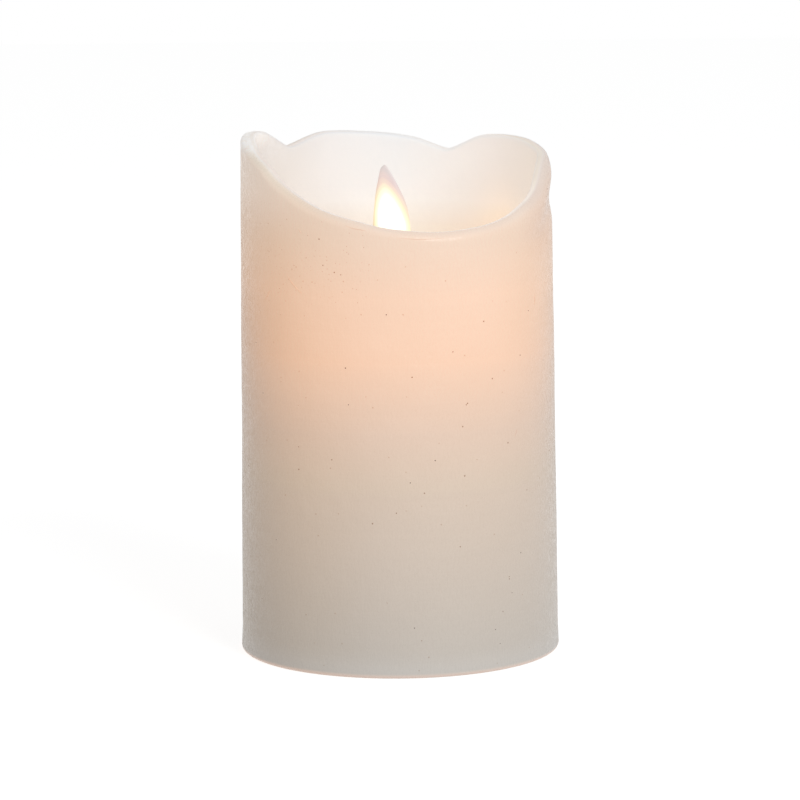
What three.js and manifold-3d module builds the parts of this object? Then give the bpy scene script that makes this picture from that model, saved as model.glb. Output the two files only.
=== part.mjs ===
// Flameless candle: a wax pillar with a swinging flame, lit from inside.
// Millimetres, +Z up, origin at the middle of the foot, front towards -Y.
import * as THREE from 'three';
import Module from 'manifold-3d';
import { mergeVertices } from 'three/addons/utils/BufferGeometryUtils.js';

const wasm = await Module();
wasm.setup();

// Gaps and tools
const fit = 0.3;
const threadFit = 0.25;
const overrun = 2;
const weld = 0.0001;
const smallSides = 12;
const midSides = 20;
const largeSides = 40;
const waxSides = 64;

// Wax shell
const waxTaper = 1.2;
const waxWall = 4.5;
const wellTaper = 0.4;
const wellDepth = 13.5;
const rimSpread = 19.8;
const rimInset = 1.9;
const rimDrop = 1.8;
const lobeShoulder = 6;
const neckDepth = 0.7;
const footRound = 1;
const wellFloorHeight = 90;
const wellFloorThick = 4;
const wellFillet = 5;
const wellDish = 0.6;
const flameHoleRadius = 12;
// Rim crest: azimuth in degrees from +X, then the height from rimLow to rimHigh
const rimCrestShares = [
  [-90, 0.04], [-74, 0], [-58, 0.035], [-50, 0.076], [-41, 0.15], [-34, 0.235], [-26, 0.33],
  [-20, 0.445], [-14, 0.63], [-7, 0.73], [3, 0.76], [11, 0.785], [19, 0.815], [27, 0.845],
  [38, 0.86], [49, 0.85], [55, 0.815], [60, 0.752], [65, 0.686], [69, 0.652], [75, 0.706],
  [82, 0.778], [92, 0.832], [104, 0.865], [116, 0.885], [122, 0.878], [128, 0.836],
  [135, 0.775], [140, 0.752], [146, 0.825], [152, 0.905], [159, 0.97], [172, 1], [180, 0.98],
  [188, 0.945], [196, 0.888], [203, 0.828], [210, 0.76], [217, 0.621], [225, 0.49],
  [232, 0.384], [239, 0.288], [247, 0.202], [254, 0.146], [262, 0.08],
];
// How much of the lobe's soft shoulder the rim has: azimuth, share of lobeShoulder
const shoulderShares = [
  [-90, 0.34], [-40, 0.45], [-12, 0.9], [12, 1], [45, 0.75], [70, 0.4], [105, 0.45],
  [138, 0.32], [160, 0.26], [200, 0.26], [230, 0.34],
];
// The shallow neck under the right lobe: azimuth, share of neckDepth
const neckShares = [[-60, 0], [-25, 0.4], [0, 1], [25, 0.4], [60, 0], [150, 0], [240, 0]];
// Rows up the outer face, and how much of the neck each one takes
const wallRowShares = [[0.35, 0], [0.7, 0], [0.9, 0.25], [0.955, 1]];

// Base and battery bay
const boreFit = 0.3;
const baseMargin = 0.51;
const baseRecess = 1.2;
const baseThick = 2.2;
const bayWall = 1;
const bayRoof = 1.2;
const ledgeWidth = 1;
const ledgeHeight = 1;
const boardBossRadius = 2.2;
const boardBossHeight = 3.5;
const switchBossRadius = 2;
const bossGap = 1.05;
const boardEdge = 2.6;

// Cells and contacts
const cellRadius = 7.25;
const cellLength = 50.5;
const cellCrimp = 0.6;
const nubRadius = 2.75;
const nubLength = 1;
const cellFit = 0.4;
const contactThick = 0.4;
const contactWidth = 9;
const contactHeight = 11;
const tabWidth = 3;
const tabRise = 1.6;
const springLength = 3;
const springTurns = 2.5;
const springWire = 0.25;
const springSteps = 8;
const springArcs = 3;
const springFootRadius = 3.4;
const springTipRadius = 1.6;

// Battery door
const doorThick = 1.8;
const doorFit = 0.3;
const pintleRadius = 0.55;
const pintleReach = 0.8;
const pintleFit = 0.3;
const tongueWidth = 9;
const tongueLength = 8;
const tongueSlit = 1;
const gripRise = 0.6;
const gripLength = 1.6;
const gripRibs = 3;

// Slide switch
const switchLength = 12.7;
const switchDepth = 6.8;
const switchHeight = 5;
const switchWall = 0.6;
const switchSetback = 5;
const switchTravel = 4;
const knobLength = 2.6;
const knobDepth = 2.4;
const knobTip = 0.5;
const carrierLength = 5;
const carrierDepth = 4.6;
const carrierHeight = 2.2;
const terminalPitch = 3;
const terminalWidth = 0.8;
const terminalDepth = 0.5;
const terminalRise = 1.2;
const switchBoardDepth = 9;
const switchBoardThick = 1.2;

// Control board
const boardLength = 40;
const boardDepth = 26;
const boardThick = 1.6;
const chipLength = 5;
const chipDepth = 4;
const chipHeight = 1.5;
const chipLegWidth = 0.4;
const chipLegReach = 1;
const chipLegPitch = 1.27;
const chipLegRow = 4;
const capacitorRadius = 2.5;
const capacitorHeight = 8;
const capacitorBead = 0.42;
const transistorRadius = 2.3;
const transistorHeight = 4.5;
const transistorLift = 1.6;
const partLeg = 0.5;
const transistorPitch = 1.27;
const resistorRadius = 1.1;
const resistorWaist = 0.9;
const resistorLength = 6;
const resistorLift = 0.6;
const resistorSpan = 10;
// Places on the board: shares of its half length and half depth
const chipPlaceShares = [-0.35, 0];
const capacitorPlaceShares = [0.45, 0];
const transistorPlaceShares = [0.05, -0.15];
const resistorPlaceShares = [[-0.6, 0.75], [-0.6, 0.48], [-0.6, -0.49]];

// Tower
const deckRoom = 5.4;
const deckThick = 2;
const deckFit = 0.7;
const legRadius = 3;
const legGapX = 1;
const legGapY = 1.9;
const tubeWall = 1.6;
const flangeRadius = 22;
const flangeThick = 1.5;
const collarRise = 3.5;
const collarWall = 1.2;
const collarLid = 1.2;
const slotWidth = 13.6;
const slotFront = 8;
const slotBack = 4;
const seamGap = 0.3;
const earRadius = 2.6;
const earHalfLength = 5;
const earOffset = 2;
const earLowRise = 6;
const earHighDrop = 8.2;
const shelfInset = 3.5;
const shelfWidth = 2;
const shelfThick = 1;
const shelfReach = 7.6;

// Pendulum
const pivotDrop = 2.2;
const pivotWireRadius = 0.3;
const pivotFit = 0.25;
const wireSeat = 0.9;
const flameRise = 25.7;
const flameHalfWidth = 4.9;
const flameThick = 1;
const flameLean = THREE.MathUtils.degToRad(4.2);
const eyeRadius = 1.9;
const tailHalfWidth = 1.2;
const footRadius = 3;
const footThick = 1.5;
const magnetRadius = 3;
const magnetHeight = 2.5;
const magnetShift = 0.46;
const magnetGap = 3;
// Flame edge: height from the pivot to the tip, then half width in flameHalfWidth
const flameEdgeShares = [
  [0.06, 0.25], [0.12, 0.36], [0.18, 0.58], [0.24, 0.8], [0.31, 0.95], [0.39, 1], [0.47, 0.96],
  [0.54, 0.9], [0.65, 0.81], [0.74, 0.69], [0.83, 0.53], [0.92, 0.31], [0.965, 0.18], [0.99, 0.08],
];

// Lamp
const lampRadius = 2.5;
const lampRimRadius = 2.9;
const lampRimHeight = 1;
const lampLength = 8.6;
const lampTilt = THREE.MathUtils.degToRad(24);
const lampDrop = 15.2;
const lampLegX = 1.27;
const lampLegLength = 4;
const holderHeight = 6.5;
const holderHalfWidth = 4.4;
const holderDepth = 8.2;
const holderRise = 0.7;

// Coil
const bobbinRadius = 9;
const bobbinHeight = 13;
const coilRoom = 4.4;
const bobbinFlange = 1;
const bobbinCore = 3.2;
const windingInset = 0.8;
const windingRidge = 0.4;
const windingRidges = 5;

// Screws
const screwShank = 1;
const screwHead = 2.1;
const screwHeadHeight = 1.1;
const baseScrewLength = 8;
const towerScrewLength = 9;
const coilScrewLength = 9;
const smallShank = 0.8;
const smallHead = 1.5;
const smallHeadHeight = 0.9;
const smallScrewLength = 4;
const recessShare = 0.25;
const counterboreRoof = 1;

// Wires
const wireRadius = 0.6;
const wireSteps = 11;
const wireArcs = 4;
const wireHoleFit = 0.5;
const wireDeckX = 1.6;
const wireLead = 2;
const wireArch = 1.6;
// Solder pads on the control board: shares of its half length and half depth
const batteryPadShares = [0.83, 0.35];
const switchPadShares = [0.4, 0.8];
const lampPadShares = [0.2, 0.62];
const coilPadShares = [0.25, 0.62];

// The bay and what is on the base, from the cells outwards
const baseTop = baseRecess + baseThick;
const doorTop = baseRecess + doorThick;
const cellZ = doorTop + cellFit + cellRadius;
const cellY = cellRadius + cellFit / 2;
const bayRoofLow = cellZ + cellRadius + cellFit;
const bayRoofTop = bayRoofLow + bayRoof;
const bayLength = cellLength + springLength + 2 * contactThick + 2 * fit;
const bayDepth = 2 * (cellY + cellRadius + cellFit);
const contactZ = cellZ - contactHeight / 2;
const hingeX = -bayLength / 2 + doorFit + doorThick / 2;
const hingeZ = baseRecess + doorThick / 2;
const switchY = -(bayDepth / 2 + bayWall + switchSetback + switchDepth / 2);
const switchTop = baseTop + switchHeight;
const switchScrewX = switchLength / 2 + bossGap + switchBossRadius;
const switchBoardLength = 2 * (switchScrewX + boardEdge);
const boardScrewX = boardLength / 2 - boardEdge;
const boardLow = bayRoofTop + boardBossHeight;
const boardTop = boardLow + boardThick;
const legX = switchBoardLength / 2 + legGapX + legRadius;
const legY = bayDepth / 2 + bayWall + legGapY + legRadius;
const legPlaces = [[legX, legY], [-legX, legY], [-legX, -legY], [legX, -legY]];

// The round outline holds the bay, the switch board and the legs
const baseReach = Math.max(
  Math.hypot(bayLength / 2 + bayWall, bayDepth / 2 + bayWall),
  Math.hypot(switchBoardLength / 2, switchBoardDepth / 2 - switchY),
  Math.hypot(legX, legY) + legRadius,
);
const baseRadius = baseReach + baseMargin;
const boreRadius = baseRadius + boreFit;
const waxRadius = boreRadius + waxWall;
const rimLow = wellFloorHeight + wellDepth;
const rimHigh = rimLow + rimSpread;

// Tower, lamp, coil and pendulum, between the deck and the well's floor
const deckHeight = boardTop + capacitorHeight + deckRoom;
const deckTop = deckHeight + deckThick;
const tubeBore = bobbinRadius + coilRoom;
const tubeRadius = tubeBore + tubeWall;
const flangeTop = wellFloorHeight - wellFloorThick - fit;
const tubeTop = flangeTop - flangeThick;
const collarRadius = flameHoleRadius - fit;
const collarTop = flangeTop + collarRise;
const earY = tubeRadius + earOffset;
const earRows = [deckTop + earLowRise, tubeTop - earHighDrop];
const lampHeight = tubeTop - lampDrop;
const holderFront = fit - Math.sqrt(tubeBore ** 2 - holderHalfWidth ** 2);
const lampY = holderFront + holderDepth / 2;
const holderLow = lampHeight + holderRise;
const wireDeckY = (tubeBore + bobbinRadius) / 2;
const coilTop = deckTop + bobbinHeight;
const pivotZ = tubeTop - pivotDrop;
const flameTip = wellFloorHeight + flameRise;
const magnetLow = coilTop + magnetGap;
const screwCounterbore = screwHead + fit;

// Finishes
function finish(color, roughness, metalness = 0) {
  return new THREE.MeshStandardMaterial({ color, roughness, metalness });
}
const waxFinish = () => finish(0xf3e3d2, 0.55);
const ivoryPlastic = () => finish(0xe9e2d4, 0.5);
const whitePlastic = () => finish(0xf2f0ea, 0.45);
const blackPlastic = () => finish(0x1c1c1e, 0.4);
const flameFinish = () => finish(0xfff3cf, 0.35);
const lensFinish = () => finish(0xf7e2a8, 0.15);
const steelFinish = () => finish(0xb9bcc0, 0.35, 1);
const nickelFinish = () => finish(0xcfcac0, 0.3, 1);
const copperFinish = () => finish(0xb5622e, 0.35, 1);
const greenBoard = () => finish(0x1f6b3a, 0.45);
const cellWrap = () => finish(0x2f6f9e, 0.3);

// A closed geometry as a solid that can be cut and joined
function solidOf(shape) {
  if (!shape.isBufferGeometry) return shape;
  const bare = shape.clone();
  bare.deleteAttribute('normal');
  bare.deleteAttribute('uv');
  const merged = mergeVertices(bare, weld);
  const corners = merged.index.array;
  const kept = [];
  for (let i = 0; i < corners.length; i += 3) {
    const [a, b, c] = corners.slice(i, i + 3);
    if (a !== b && b !== c && c !== a) kept.push(a, b, c);
  }
  const vertProperties = new Float32Array(merged.attributes.position.array);
  const triVerts = new Uint32Array(kept);
  return new wasm.Manifold(new wasm.Mesh({ numProp: 3, vertProperties, triVerts }));
}

function geometryOf(shape) {
  if (shape.isBufferGeometry) return shape;
  const { vertProperties, triVerts } = shape.getMesh();
  const geometry = new THREE.BufferGeometry();
  geometry.setAttribute('position', new THREE.BufferAttribute(vertProperties, 3));
  geometry.setIndex(new THREE.BufferAttribute(triVerts, 1));
  geometry.computeVertexNormals();
  return geometry;
}

function join(shapes) {
  return shapes.map(solidOf).reduce((whole, shape) => whole.add(shape));
}

function cut(shape, tools) {
  return tools.map(solidOf).reduce((whole, tool) => whole.subtract(tool), solidOf(shape));
}

// A block centred on x and y, standing on low
function block(sizeX, sizeY, sizeZ, x, y, low) {
  return new THREE.BoxGeometry(sizeX, sizeY, sizeZ).translate(x, y, low + sizeZ / 2);
}

// A block between two corners
function span(lowX, highX, lowY, highY, lowZ, highZ) {
  const middleX = (lowX + highX) / 2;
  const middleY = (lowY + highY) / 2;
  return block(highX - lowX, highY - lowY, highZ - lowZ, middleX, middleY, lowZ);
}

// An upright rod, and rods lying along X and Y
function rod(radius, low, high, x = 0, y = 0, sides = smallSides) {
  const geometry = new THREE.CylinderGeometry(radius, radius, high - low, sides);
  return geometry.rotateX(Math.PI / 2).translate(x, y, (low + high) / 2);
}

function rodAlongX(radius, low, high, y, z, sides = smallSides) {
  const geometry = new THREE.CylinderGeometry(radius, radius, high - low, sides);
  return geometry.rotateZ(-Math.PI / 2).translate((low + high) / 2, y, z);
}

function rodAlongY(radius, low, high, x, z, sides = smallSides) {
  const geometry = new THREE.CylinderGeometry(radius, radius, high - low, sides);
  return geometry.translate(x, (low + high) / 2, z);
}

// A turned piece from radius and height pairs, going up on the outside
function turned(profile, sides = midSides) {
  const points = profile.map(([radius, height]) => new THREE.Vector2(radius, height));
  return new THREE.LatheGeometry(points, sides).rotateX(Math.PI / 2);
}

function named(name, shape, material) {
  const mesh = new THREE.Mesh(geometryOf(shape), material);
  mesh.name = name;
  return mesh;
}

function placed(object, x, y, z) {
  object.position.set(x, y, z);
  return object;
}

// A smooth value round the axis from a table of azimuths and shares
function aroundAxis(table, azimuth) {
  const turn = 360;
  const start = table[0][0];
  const angle = start + THREE.MathUtils.euclideanModulo(azimuth - start, turn);
  const count = table.length;
  const knot = (i) => {
    const [at, share] = table[THREE.MathUtils.euclideanModulo(i, count)];
    return [at + turn * Math.floor(i / count), share];
  };
  let i = 0;
  while (knot(i + 1)[0] <= angle) i += 1;
  const slope = (k) => (knot(k + 1)[1] - knot(k - 1)[1]) / (knot(k + 1)[0] - knot(k - 1)[0]);
  const width = knot(i + 1)[0] - knot(i)[0];
  const t = (angle - knot(i)[0]) / width;
  const ease = t * t * (3 - 2 * t);
  const lead = t * (1 - t) * (1 - t) * width * slope(i);
  const trail = t * t * (t - 1) * width * slope(i + 1);
  return knot(i)[1] * (1 - ease) + knot(i + 1)[1] * ease + lead + trail;
}

// One upright section of the wax shell, from the bore's foot round and back up the bore
function waxSection(azimuth) {
  const crest = rimLow + (rimHigh - rimLow) * aroundAxis(rimCrestShares, azimuth);
  const shoulder = lobeShoulder * aroundAxis(shoulderShares, azimuth);
  const neck = neckDepth * aroundAxis(neckShares, azimuth);
  const topRadius = waxRadius - waxTaper;
  const crestRadius = topRadius - rimInset;
  const wellRadius = boreRadius - wellTaper;
  const shoulderHeight = crest - shoulder;
  const section = [[boreRadius, 0]];
  for (const turnShare of [0, 0.5, 1]) {
    const angle = turnShare * Math.PI / 2;
    const radius = waxRadius - footRound * (1 - Math.sin(angle));
    section.push([radius, footRound * (1 - Math.cos(angle))]);
  }
  for (const [heightShare, neckShare] of wallRowShares) {
    const radius = waxRadius - waxTaper * heightShare - neck * neckShare;
    section.push([radius, shoulderHeight * heightShare]);
  }
  for (const turnShare of [0, 0.33, 0.67, 1]) {
    const angle = turnShare * Math.PI / 2;
    const radius = crestRadius + rimInset * Math.cos(angle);
    section.push([radius, shoulderHeight + shoulder * Math.sin(angle)]);
  }
  for (const turnShare of [0.35, 0.7, 1]) {
    const angle = turnShare * Math.PI / 2;
    const radius = crestRadius - (crestRadius - boreRadius) * Math.sin(angle);
    section.push([radius, crest - rimDrop * (1 - Math.cos(angle))]);
  }
  for (const turnShare of [0, 0.33, 0.67, 1]) {
    const angle = turnShare * Math.PI / 2;
    const radius = wellRadius - wellFillet * (1 - Math.cos(angle));
    section.push([radius, wellFloorHeight + wellFillet * (1 - Math.sin(angle))]);
  }
  section.push([flameHoleRadius, wellFloorHeight - wellDish]);
  section.push([flameHoleRadius, wellFloorHeight - wellFloorThick]);
  section.push([boreRadius, wellFloorHeight - wellFloorThick]);
  return section;
}

function makeWaxShell() {
  const positions = [];
  const corners = [];
  let rows = 0;
  for (let column = 0; column < waxSides; column += 1) {
    const angle = 2 * Math.PI * column / waxSides;
    const section = waxSection(THREE.MathUtils.radToDeg(angle));
    rows = section.length;
    for (const [radius, height] of section) {
      positions.push(radius * Math.cos(angle), radius * Math.sin(angle), height);
    }
  }
  for (let column = 0; column < waxSides; column += 1) {
    const next = (column + 1) % waxSides;
    for (let row = 0; row < rows; row += 1) {
      const above = (row + 1) % rows;
      const here = column * rows + row;
      const beside = next * rows + row;
      const over = column * rows + above;
      const across = next * rows + above;
      corners.push(here, beside, across, here, across, over);
    }
  }
  const geometry = new THREE.BufferGeometry();
  geometry.setAttribute('position', new THREE.Float32BufferAttribute(positions, 3));
  geometry.setIndex(corners);
  geometry.computeVertexNormals();
  return named('wax_shell', geometry, waxFinish());
}

// Screws: the underside of the head is at height 0 and the shank points down
function screwShape(shank, head, headHeight, length) {
  const profile = [
    [0, -length], [shank * recessShare, -length], [shank, shank - length], [shank, 0],
    [head, 0], [head, headHeight / 2], [head - headHeight / 2, headHeight], [0, headHeight],
  ];
  const recess = headHeight / 2;
  const arm = head;
  const blade = head * recessShare;
  return cut(turned(profile, smallSides), [
    block(arm, blade, headHeight, 0, 0, recess),
    block(blade, arm, headHeight, 0, 0, recess),
  ]);
}

function makeScrew(name, length) {
  return named(name, screwShape(screwShank, screwHead, screwHeadHeight, length), steelFinish());
}

function makeSmallScrew(name) {
  const shape = screwShape(smallShank, smallHead, smallHeadHeight, smallScrewLength);
  return named(name, shape, steelFinish());
}

// Base disc with the battery bay, its ledges, bosses, sockets and slots
function makeBatteryTub() {
  const halfLength = bayLength / 2;
  const halfDepth = bayDepth / 2;
  const outerLength = bayLength + 2 * bayWall;
  const outerDepth = bayDepth + 2 * bayWall;
  const walls = block(outerLength, outerDepth, bayRoofTop - baseRecess, 0, 0, baseRecess);
  const shell = join([rod(baseRadius, baseRecess, baseTop, 0, 0, largeSides), walls]);
  const bosses = [];
  const pilots = [];
  for (const side of [-1, 1]) {
    const boardX = side * boardScrewX;
    const switchX = side * switchScrewX;
    bosses.push(rod(boardBossRadius, bayRoofTop - bayRoof / 2, boardLow, boardX, 0));
    pilots.push(rod(smallShank + threadFit, bayRoofTop, boardLow + overrun, boardX, 0));
    bosses.push(rod(switchBossRadius, baseTop - baseThick / 2, switchTop, switchX, switchY));
    pilots.push(rod(smallShank + threadFit, baseTop, switchTop + overrun, switchX, switchY));
  }
  const hollowLow = baseRecess - overrun;
  const hollow = block(bayLength, bayDepth, bayRoofLow - hollowLow, 0, 0, hollowLow);
  const ledges = [];
  const ledgeLow = doorTop + doorFit;
  for (const side of [-1, 1]) {
    const y = side * (halfDepth - ledgeWidth / 2);
    ledges.push(block(bayLength + bayWall, ledgeWidth, ledgeHeight, 0, y, ledgeLow));
  }
  const cuts = [];
  const socketRadius = pintleRadius + pintleFit;
  const socketDepth = pintleReach + pintleFit;
  for (const side of [-1, 1]) {
    const low = Math.min(side * halfDepth, side * (halfDepth - doorFit + socketDepth));
    const high = Math.max(side * halfDepth, side * (halfDepth - doorFit + socketDepth));
    cuts.push(rodAlongY(socketRadius, low, high, hingeX, hingeZ));
    cuts.push(span(hingeX - socketRadius, hingeX + socketRadius, low, high, hollowLow, hingeZ));
  }
  for (const [x, y] of legPlaces) {
    cuts.push(rod(screwShank + threadFit, hollowLow, baseTop + overrun, x, y));
    cuts.push(rod(screwCounterbore, hollowLow, baseTop - counterboreRoof, x, y));
  }
  const slotLength = knobLength + switchTravel + 2 * fit;
  const slotDepth = knobDepth + 2 * fit;
  cuts.push(block(slotLength, slotDepth, baseThick + 2 * overrun, 0, switchY, hollowLow));
  const tabSlot = tabWidth + 2 * fit;
  const slotInner = halfLength - contactThick - fit;
  for (const y of [cellY, -cellY]) {
    const low = y - tabSlot / 2;
    const high = y + tabSlot / 2;
    cuts.push(span(slotInner, halfLength, low, high, cellZ, bayRoofTop + overrun));
  }
  const body = cut(cut(join([shell, ...bosses]), [hollow, ...pilots]), cuts);
  return named('battery_tub', cut(join([body, ...ledges]), cuts), ivoryPlastic());
}

// Battery door: round along its hinge end, with pintles and a springy finger tongue
function makeBatteryDoor() {
  const end = bayLength / 2 - doorFit;
  const halfWidth = bayDepth / 2 - doorFit;
  const parts = [
    rodAlongY(doorThick / 2, -halfWidth, halfWidth, hingeX, hingeZ, midSides),
    span(hingeX, end, -halfWidth, halfWidth, baseRecess, doorTop),
    rodAlongY(pintleRadius, -halfWidth - pintleReach, halfWidth + pintleReach, hingeX, hingeZ),
  ];
  const ribLow = baseRecess - gripRise;
  const ribHeight = gripRise + doorThick / 2;
  for (let rib = 1; rib <= gripRibs; rib += 1) {
    const x = end - rib * gripLength;
    parts.push(block(gripLength / 2, tongueWidth - tongueSlit, ribHeight, x, 0, ribLow));
  }
  const slits = [];
  const slitHeight = doorThick + 2 * overrun;
  for (const side of [-1, 1]) {
    const y = side * (tongueWidth + tongueSlit) / 2;
    slits.push(block(tongueLength * 2, tongueSlit, slitHeight, end, y, baseRecess - overrun));
  }
  return named('battery_door', cut(join(parts), slits), ivoryPlastic());
}

// A cell lies along X with its nub towards +X
function makeCell(name) {
  const can = cellLength - nubLength;
  const crimpRadius = cellRadius - cellCrimp;
  const profile = [
    [0, 0], [crimpRadius, 0], [cellRadius, cellCrimp], [cellRadius, can - cellCrimp],
    [crimpRadius, can], [nubRadius, can], [nubRadius, cellLength], [0, cellLength],
  ];
  const shape = turned(profile, midSides).translate(0, 0, -cellLength / 2).rotateY(Math.PI / 2);
  return named(name, shape, cellWrap());
}

// A coil spring that narrows away from its plate, standing on it along +X
function springShape() {
  const points = [];
  const steps = springTurns * springSteps;
  const height = springLength - springWire;
  for (let step = 0; step <= steps; step += 1) {
    const share = step / steps;
    const angle = share * springTurns * 2 * Math.PI;
    const radius = THREE.MathUtils.lerp(springFootRadius, springTipRadius, share);
    const y = radius * Math.cos(angle);
    const z = radius * Math.sin(angle);
    points.push(new THREE.Vector3(height * share, y, z));
  }
  return tubeAlong(points, springWire, steps, springArcs);
}

// A round tube through a list of points, closed at both ends, with two sides to an arc
function tubeAlong(points, radius, steps, curveSegments) {
  const section = new THREE.Shape().absarc(0, 0, radius, 0, 2 * Math.PI);
  const extrudePath = new THREE.CatmullRomCurve3(points, false, 'centripetal');
  return new THREE.ExtrudeGeometry(section, { steps, extrudePath, curveSegments });
}

function plateShape(width) {
  return block(contactThick, width, contactHeight, contactThick / 2, 0, contactZ);
}

function tabShape() {
  const low = contactZ + contactHeight - contactThick;
  return block(contactThick, tabWidth, bayRoofTop + tabRise - low, contactThick / 2, 0, low);
}

function makeContacts() {
  const contacts = new THREE.Group();
  const wall = bayLength / 2;
  const spring = (y) => springShape().translate(contactThick, y, cellZ);
  const positiveShape = join([plateShape(contactWidth), tabShape()]);
  const positive = named('positive_contact', positiveShape, nickelFinish());
  const negativeShape = join([plateShape(contactWidth), tabShape(), spring(0)]);
  const negative = named('negative_contact', negativeShape, nickelFinish());
  const bridgeShape = join([plateShape(2 * cellY + contactWidth), spring(cellY)]);
  const bridge = named('bridge_contact', bridgeShape, nickelFinish());
  positive.rotation.z = Math.PI;
  negative.rotation.z = Math.PI;
  contacts.add(placed(positive, wall, cellY, 0));
  contacts.add(placed(negative, wall, -cellY, 0));
  contacts.add(placed(bridge, -wall, 0, 0));
  return contacts;
}

function makeCells() {
  const cells = new THREE.Group();
  const shift = bayLength / 2 - contactThick - fit - cellLength / 2;
  const cellB = placed(makeCell('battery_cell_b'), -shift, -cellY, cellZ);
  cellB.rotation.z = Math.PI;
  cells.add(placed(makeCell('battery_cell_a'), shift, cellY, cellZ), cellB);
  return cells;
}

// Slide switch: an open case over the base, its knob, and the little board on top
function makeSwitch() {
  const slideSwitch = placed(new THREE.Group(), 0, switchY, 0);
  const terminals = [-1, 0, 1].map((place) => place * terminalPitch);
  const pinHeight = switchWall + switchBoardThick + terminalRise;
  const pins = terminals.map((x) => block(
    terminalWidth, terminalDepth, pinHeight, x, 0, switchTop - switchWall,
  ));
  const holeLow = switchTop - overrun;
  const holeHeight = switchBoardThick + 2 * overrun;
  const pinHoles = terminals.map((x) => block(
    terminalWidth + 2 * fit, terminalDepth + 2 * fit, holeHeight, x, 0, holeLow,
  ));
  const cavityHeight = switchHeight - switchWall + overrun;
  const cavityLength = switchLength - 2 * switchWall;
  const cavityDepth = switchDepth - 2 * switchWall;
  const cavity = block(cavityLength, cavityDepth, cavityHeight, 0, 0, baseTop - overrun);
  const outer = block(switchLength, switchDepth, switchHeight, 0, 0, baseTop);
  slideSwitch.add(named('switch_case', cut(join([outer, ...pins]), [cavity]), steelFinish()));

  const carrierLow = baseTop + fit;
  const knobShape = join([
    block(carrierLength, carrierDepth, carrierHeight, 0, 0, carrierLow),
    block(knobLength, knobDepth, carrierLow + carrierHeight / 2 - knobTip, 0, 0, knobTip),
  ]);
  slideSwitch.add(placed(named('switch_knob', knobShape, blackPlastic()), -switchTravel / 2, 0, 0));

  const screwHoles = [-1, 1].map((side) => rod(
    smallShank + threadFit, holeLow, holeLow + holeHeight, side * switchScrewX, 0,
  ));
  const boardShape = cut(
    block(switchBoardLength, switchBoardDepth, switchBoardThick, 0, 0, switchTop),
    [...pinHoles, ...screwHoles],
  );
  slideSwitch.add(named('switch_board', boardShape, greenBoard()));
  [-1, 1].forEach((side, i) => {
    const screw = makeSmallScrew(`switch_screw_${i + 1}`);
    slideSwitch.add(placed(screw, side * switchScrewX, 0, switchTop + switchBoardThick));
  });
  return slideSwitch;
}

function chipShape() {
  const parts = [block(chipLength, chipDepth, chipHeight - chipLegWidth, 0, 0, chipLegWidth)];
  for (const side of [-1, 1]) {
    for (let leg = 0; leg < chipLegRow; leg += 1) {
      const x = (leg - (chipLegRow - 1) / 2) * chipLegPitch;
      const y = side * (chipDepth / 2 + chipLegReach / 2 - chipLegWidth / 2);
      parts.push(block(chipLegWidth, chipLegReach, chipLegWidth * 2, x, y, 0));
    }
  }
  return join(parts);
}

function capacitorShape() {
  const bead = capacitorBead;
  const waist = capacitorRadius - bead / 2;
  const lid = capacitorRadius - bead;
  const profile = [
    [0, 0], [capacitorRadius, 0], [capacitorRadius, 2 * bead], [waist, 3 * bead],
    [capacitorRadius, 4 * bead], [capacitorRadius, capacitorHeight - bead],
    [lid, capacitorHeight], [0, capacitorHeight],
  ];
  return turned(profile, midSides);
}

function transistorShape() {
  const round = rod(transistorRadius, transistorLift, transistorLift + transistorHeight, 0, 0, midSides);
  const flat = block(
    2 * transistorRadius + overrun, transistorRadius, transistorHeight + overrun,
    0, -transistorRadius, transistorLift - overrun / 2,
  );
  const legs = [-1, 0, 1].map((place) => block(
    partLeg, partLeg, transistorLift + partLeg, place * transistorPitch, transistorRadius / 3, 0,
  ));
  return join([cut(round, [flat]), ...legs]);
}

// A resistor lies along X on its two bent legs
function resistorShape() {
  const half = resistorLength / 2;
  const bulge = half - resistorRadius;
  const neck = bulge - resistorRadius;
  const profile = [
    [0, -half], [resistorWaist, -half], [resistorRadius, -bulge], [resistorWaist, -neck],
    [resistorWaist, neck], [resistorRadius, bulge], [resistorWaist, half], [0, half],
  ];
  const axis = resistorLift + resistorRadius;
  const parts = [
    turned(profile, smallSides).rotateY(Math.PI / 2).translate(0, 0, axis),
    block(resistorSpan, partLeg, partLeg, 0, 0, axis - partLeg / 2),
  ];
  for (const side of [-1, 1]) {
    parts.push(block(partLeg, partLeg, axis, side * (resistorSpan - partLeg) / 2, 0, 0));
  }
  return join(parts);
}

// Control board on its bosses over the battery bay, with what is soldered to it
function makeControlBoard() {
  const control = placed(new THREE.Group(), 0, 0, boardLow);
  const screwHoles = [-1, 1].map((side) => rod(
    smallShank + threadFit, -overrun, boardThick + overrun, side * boardScrewX, 0,
  ));
  const board = cut(block(boardLength, boardDepth, boardThick, 0, 0, 0), screwHoles);
  control.add(named('control_board', board, greenBoard()));
  [-1, 1].forEach((side, i) => {
    control.add(placed(makeSmallScrew(`board_screw_${i + 1}`), side * boardScrewX, 0, boardThick));
  });
  const mount = (name, shape, material, shares) => {
    const x = shares[0] * boardLength / 2;
    const y = shares[1] * boardDepth / 2;
    control.add(placed(named(name, shape, material), x, y, boardThick));
  };
  mount('controller_chip', chipShape(), blackPlastic(), chipPlaceShares);
  mount('capacitor', capacitorShape(), blackPlastic(), capacitorPlaceShares);
  mount('transistor', transistorShape(), blackPlastic(), transistorPlaceShares);
  resistorPlaceShares.forEach((shares, i) => {
    mount(`resistor_${i + 1}`, resistorShape(), ivoryPlastic(), shares);
  });
  return control;
}

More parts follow.
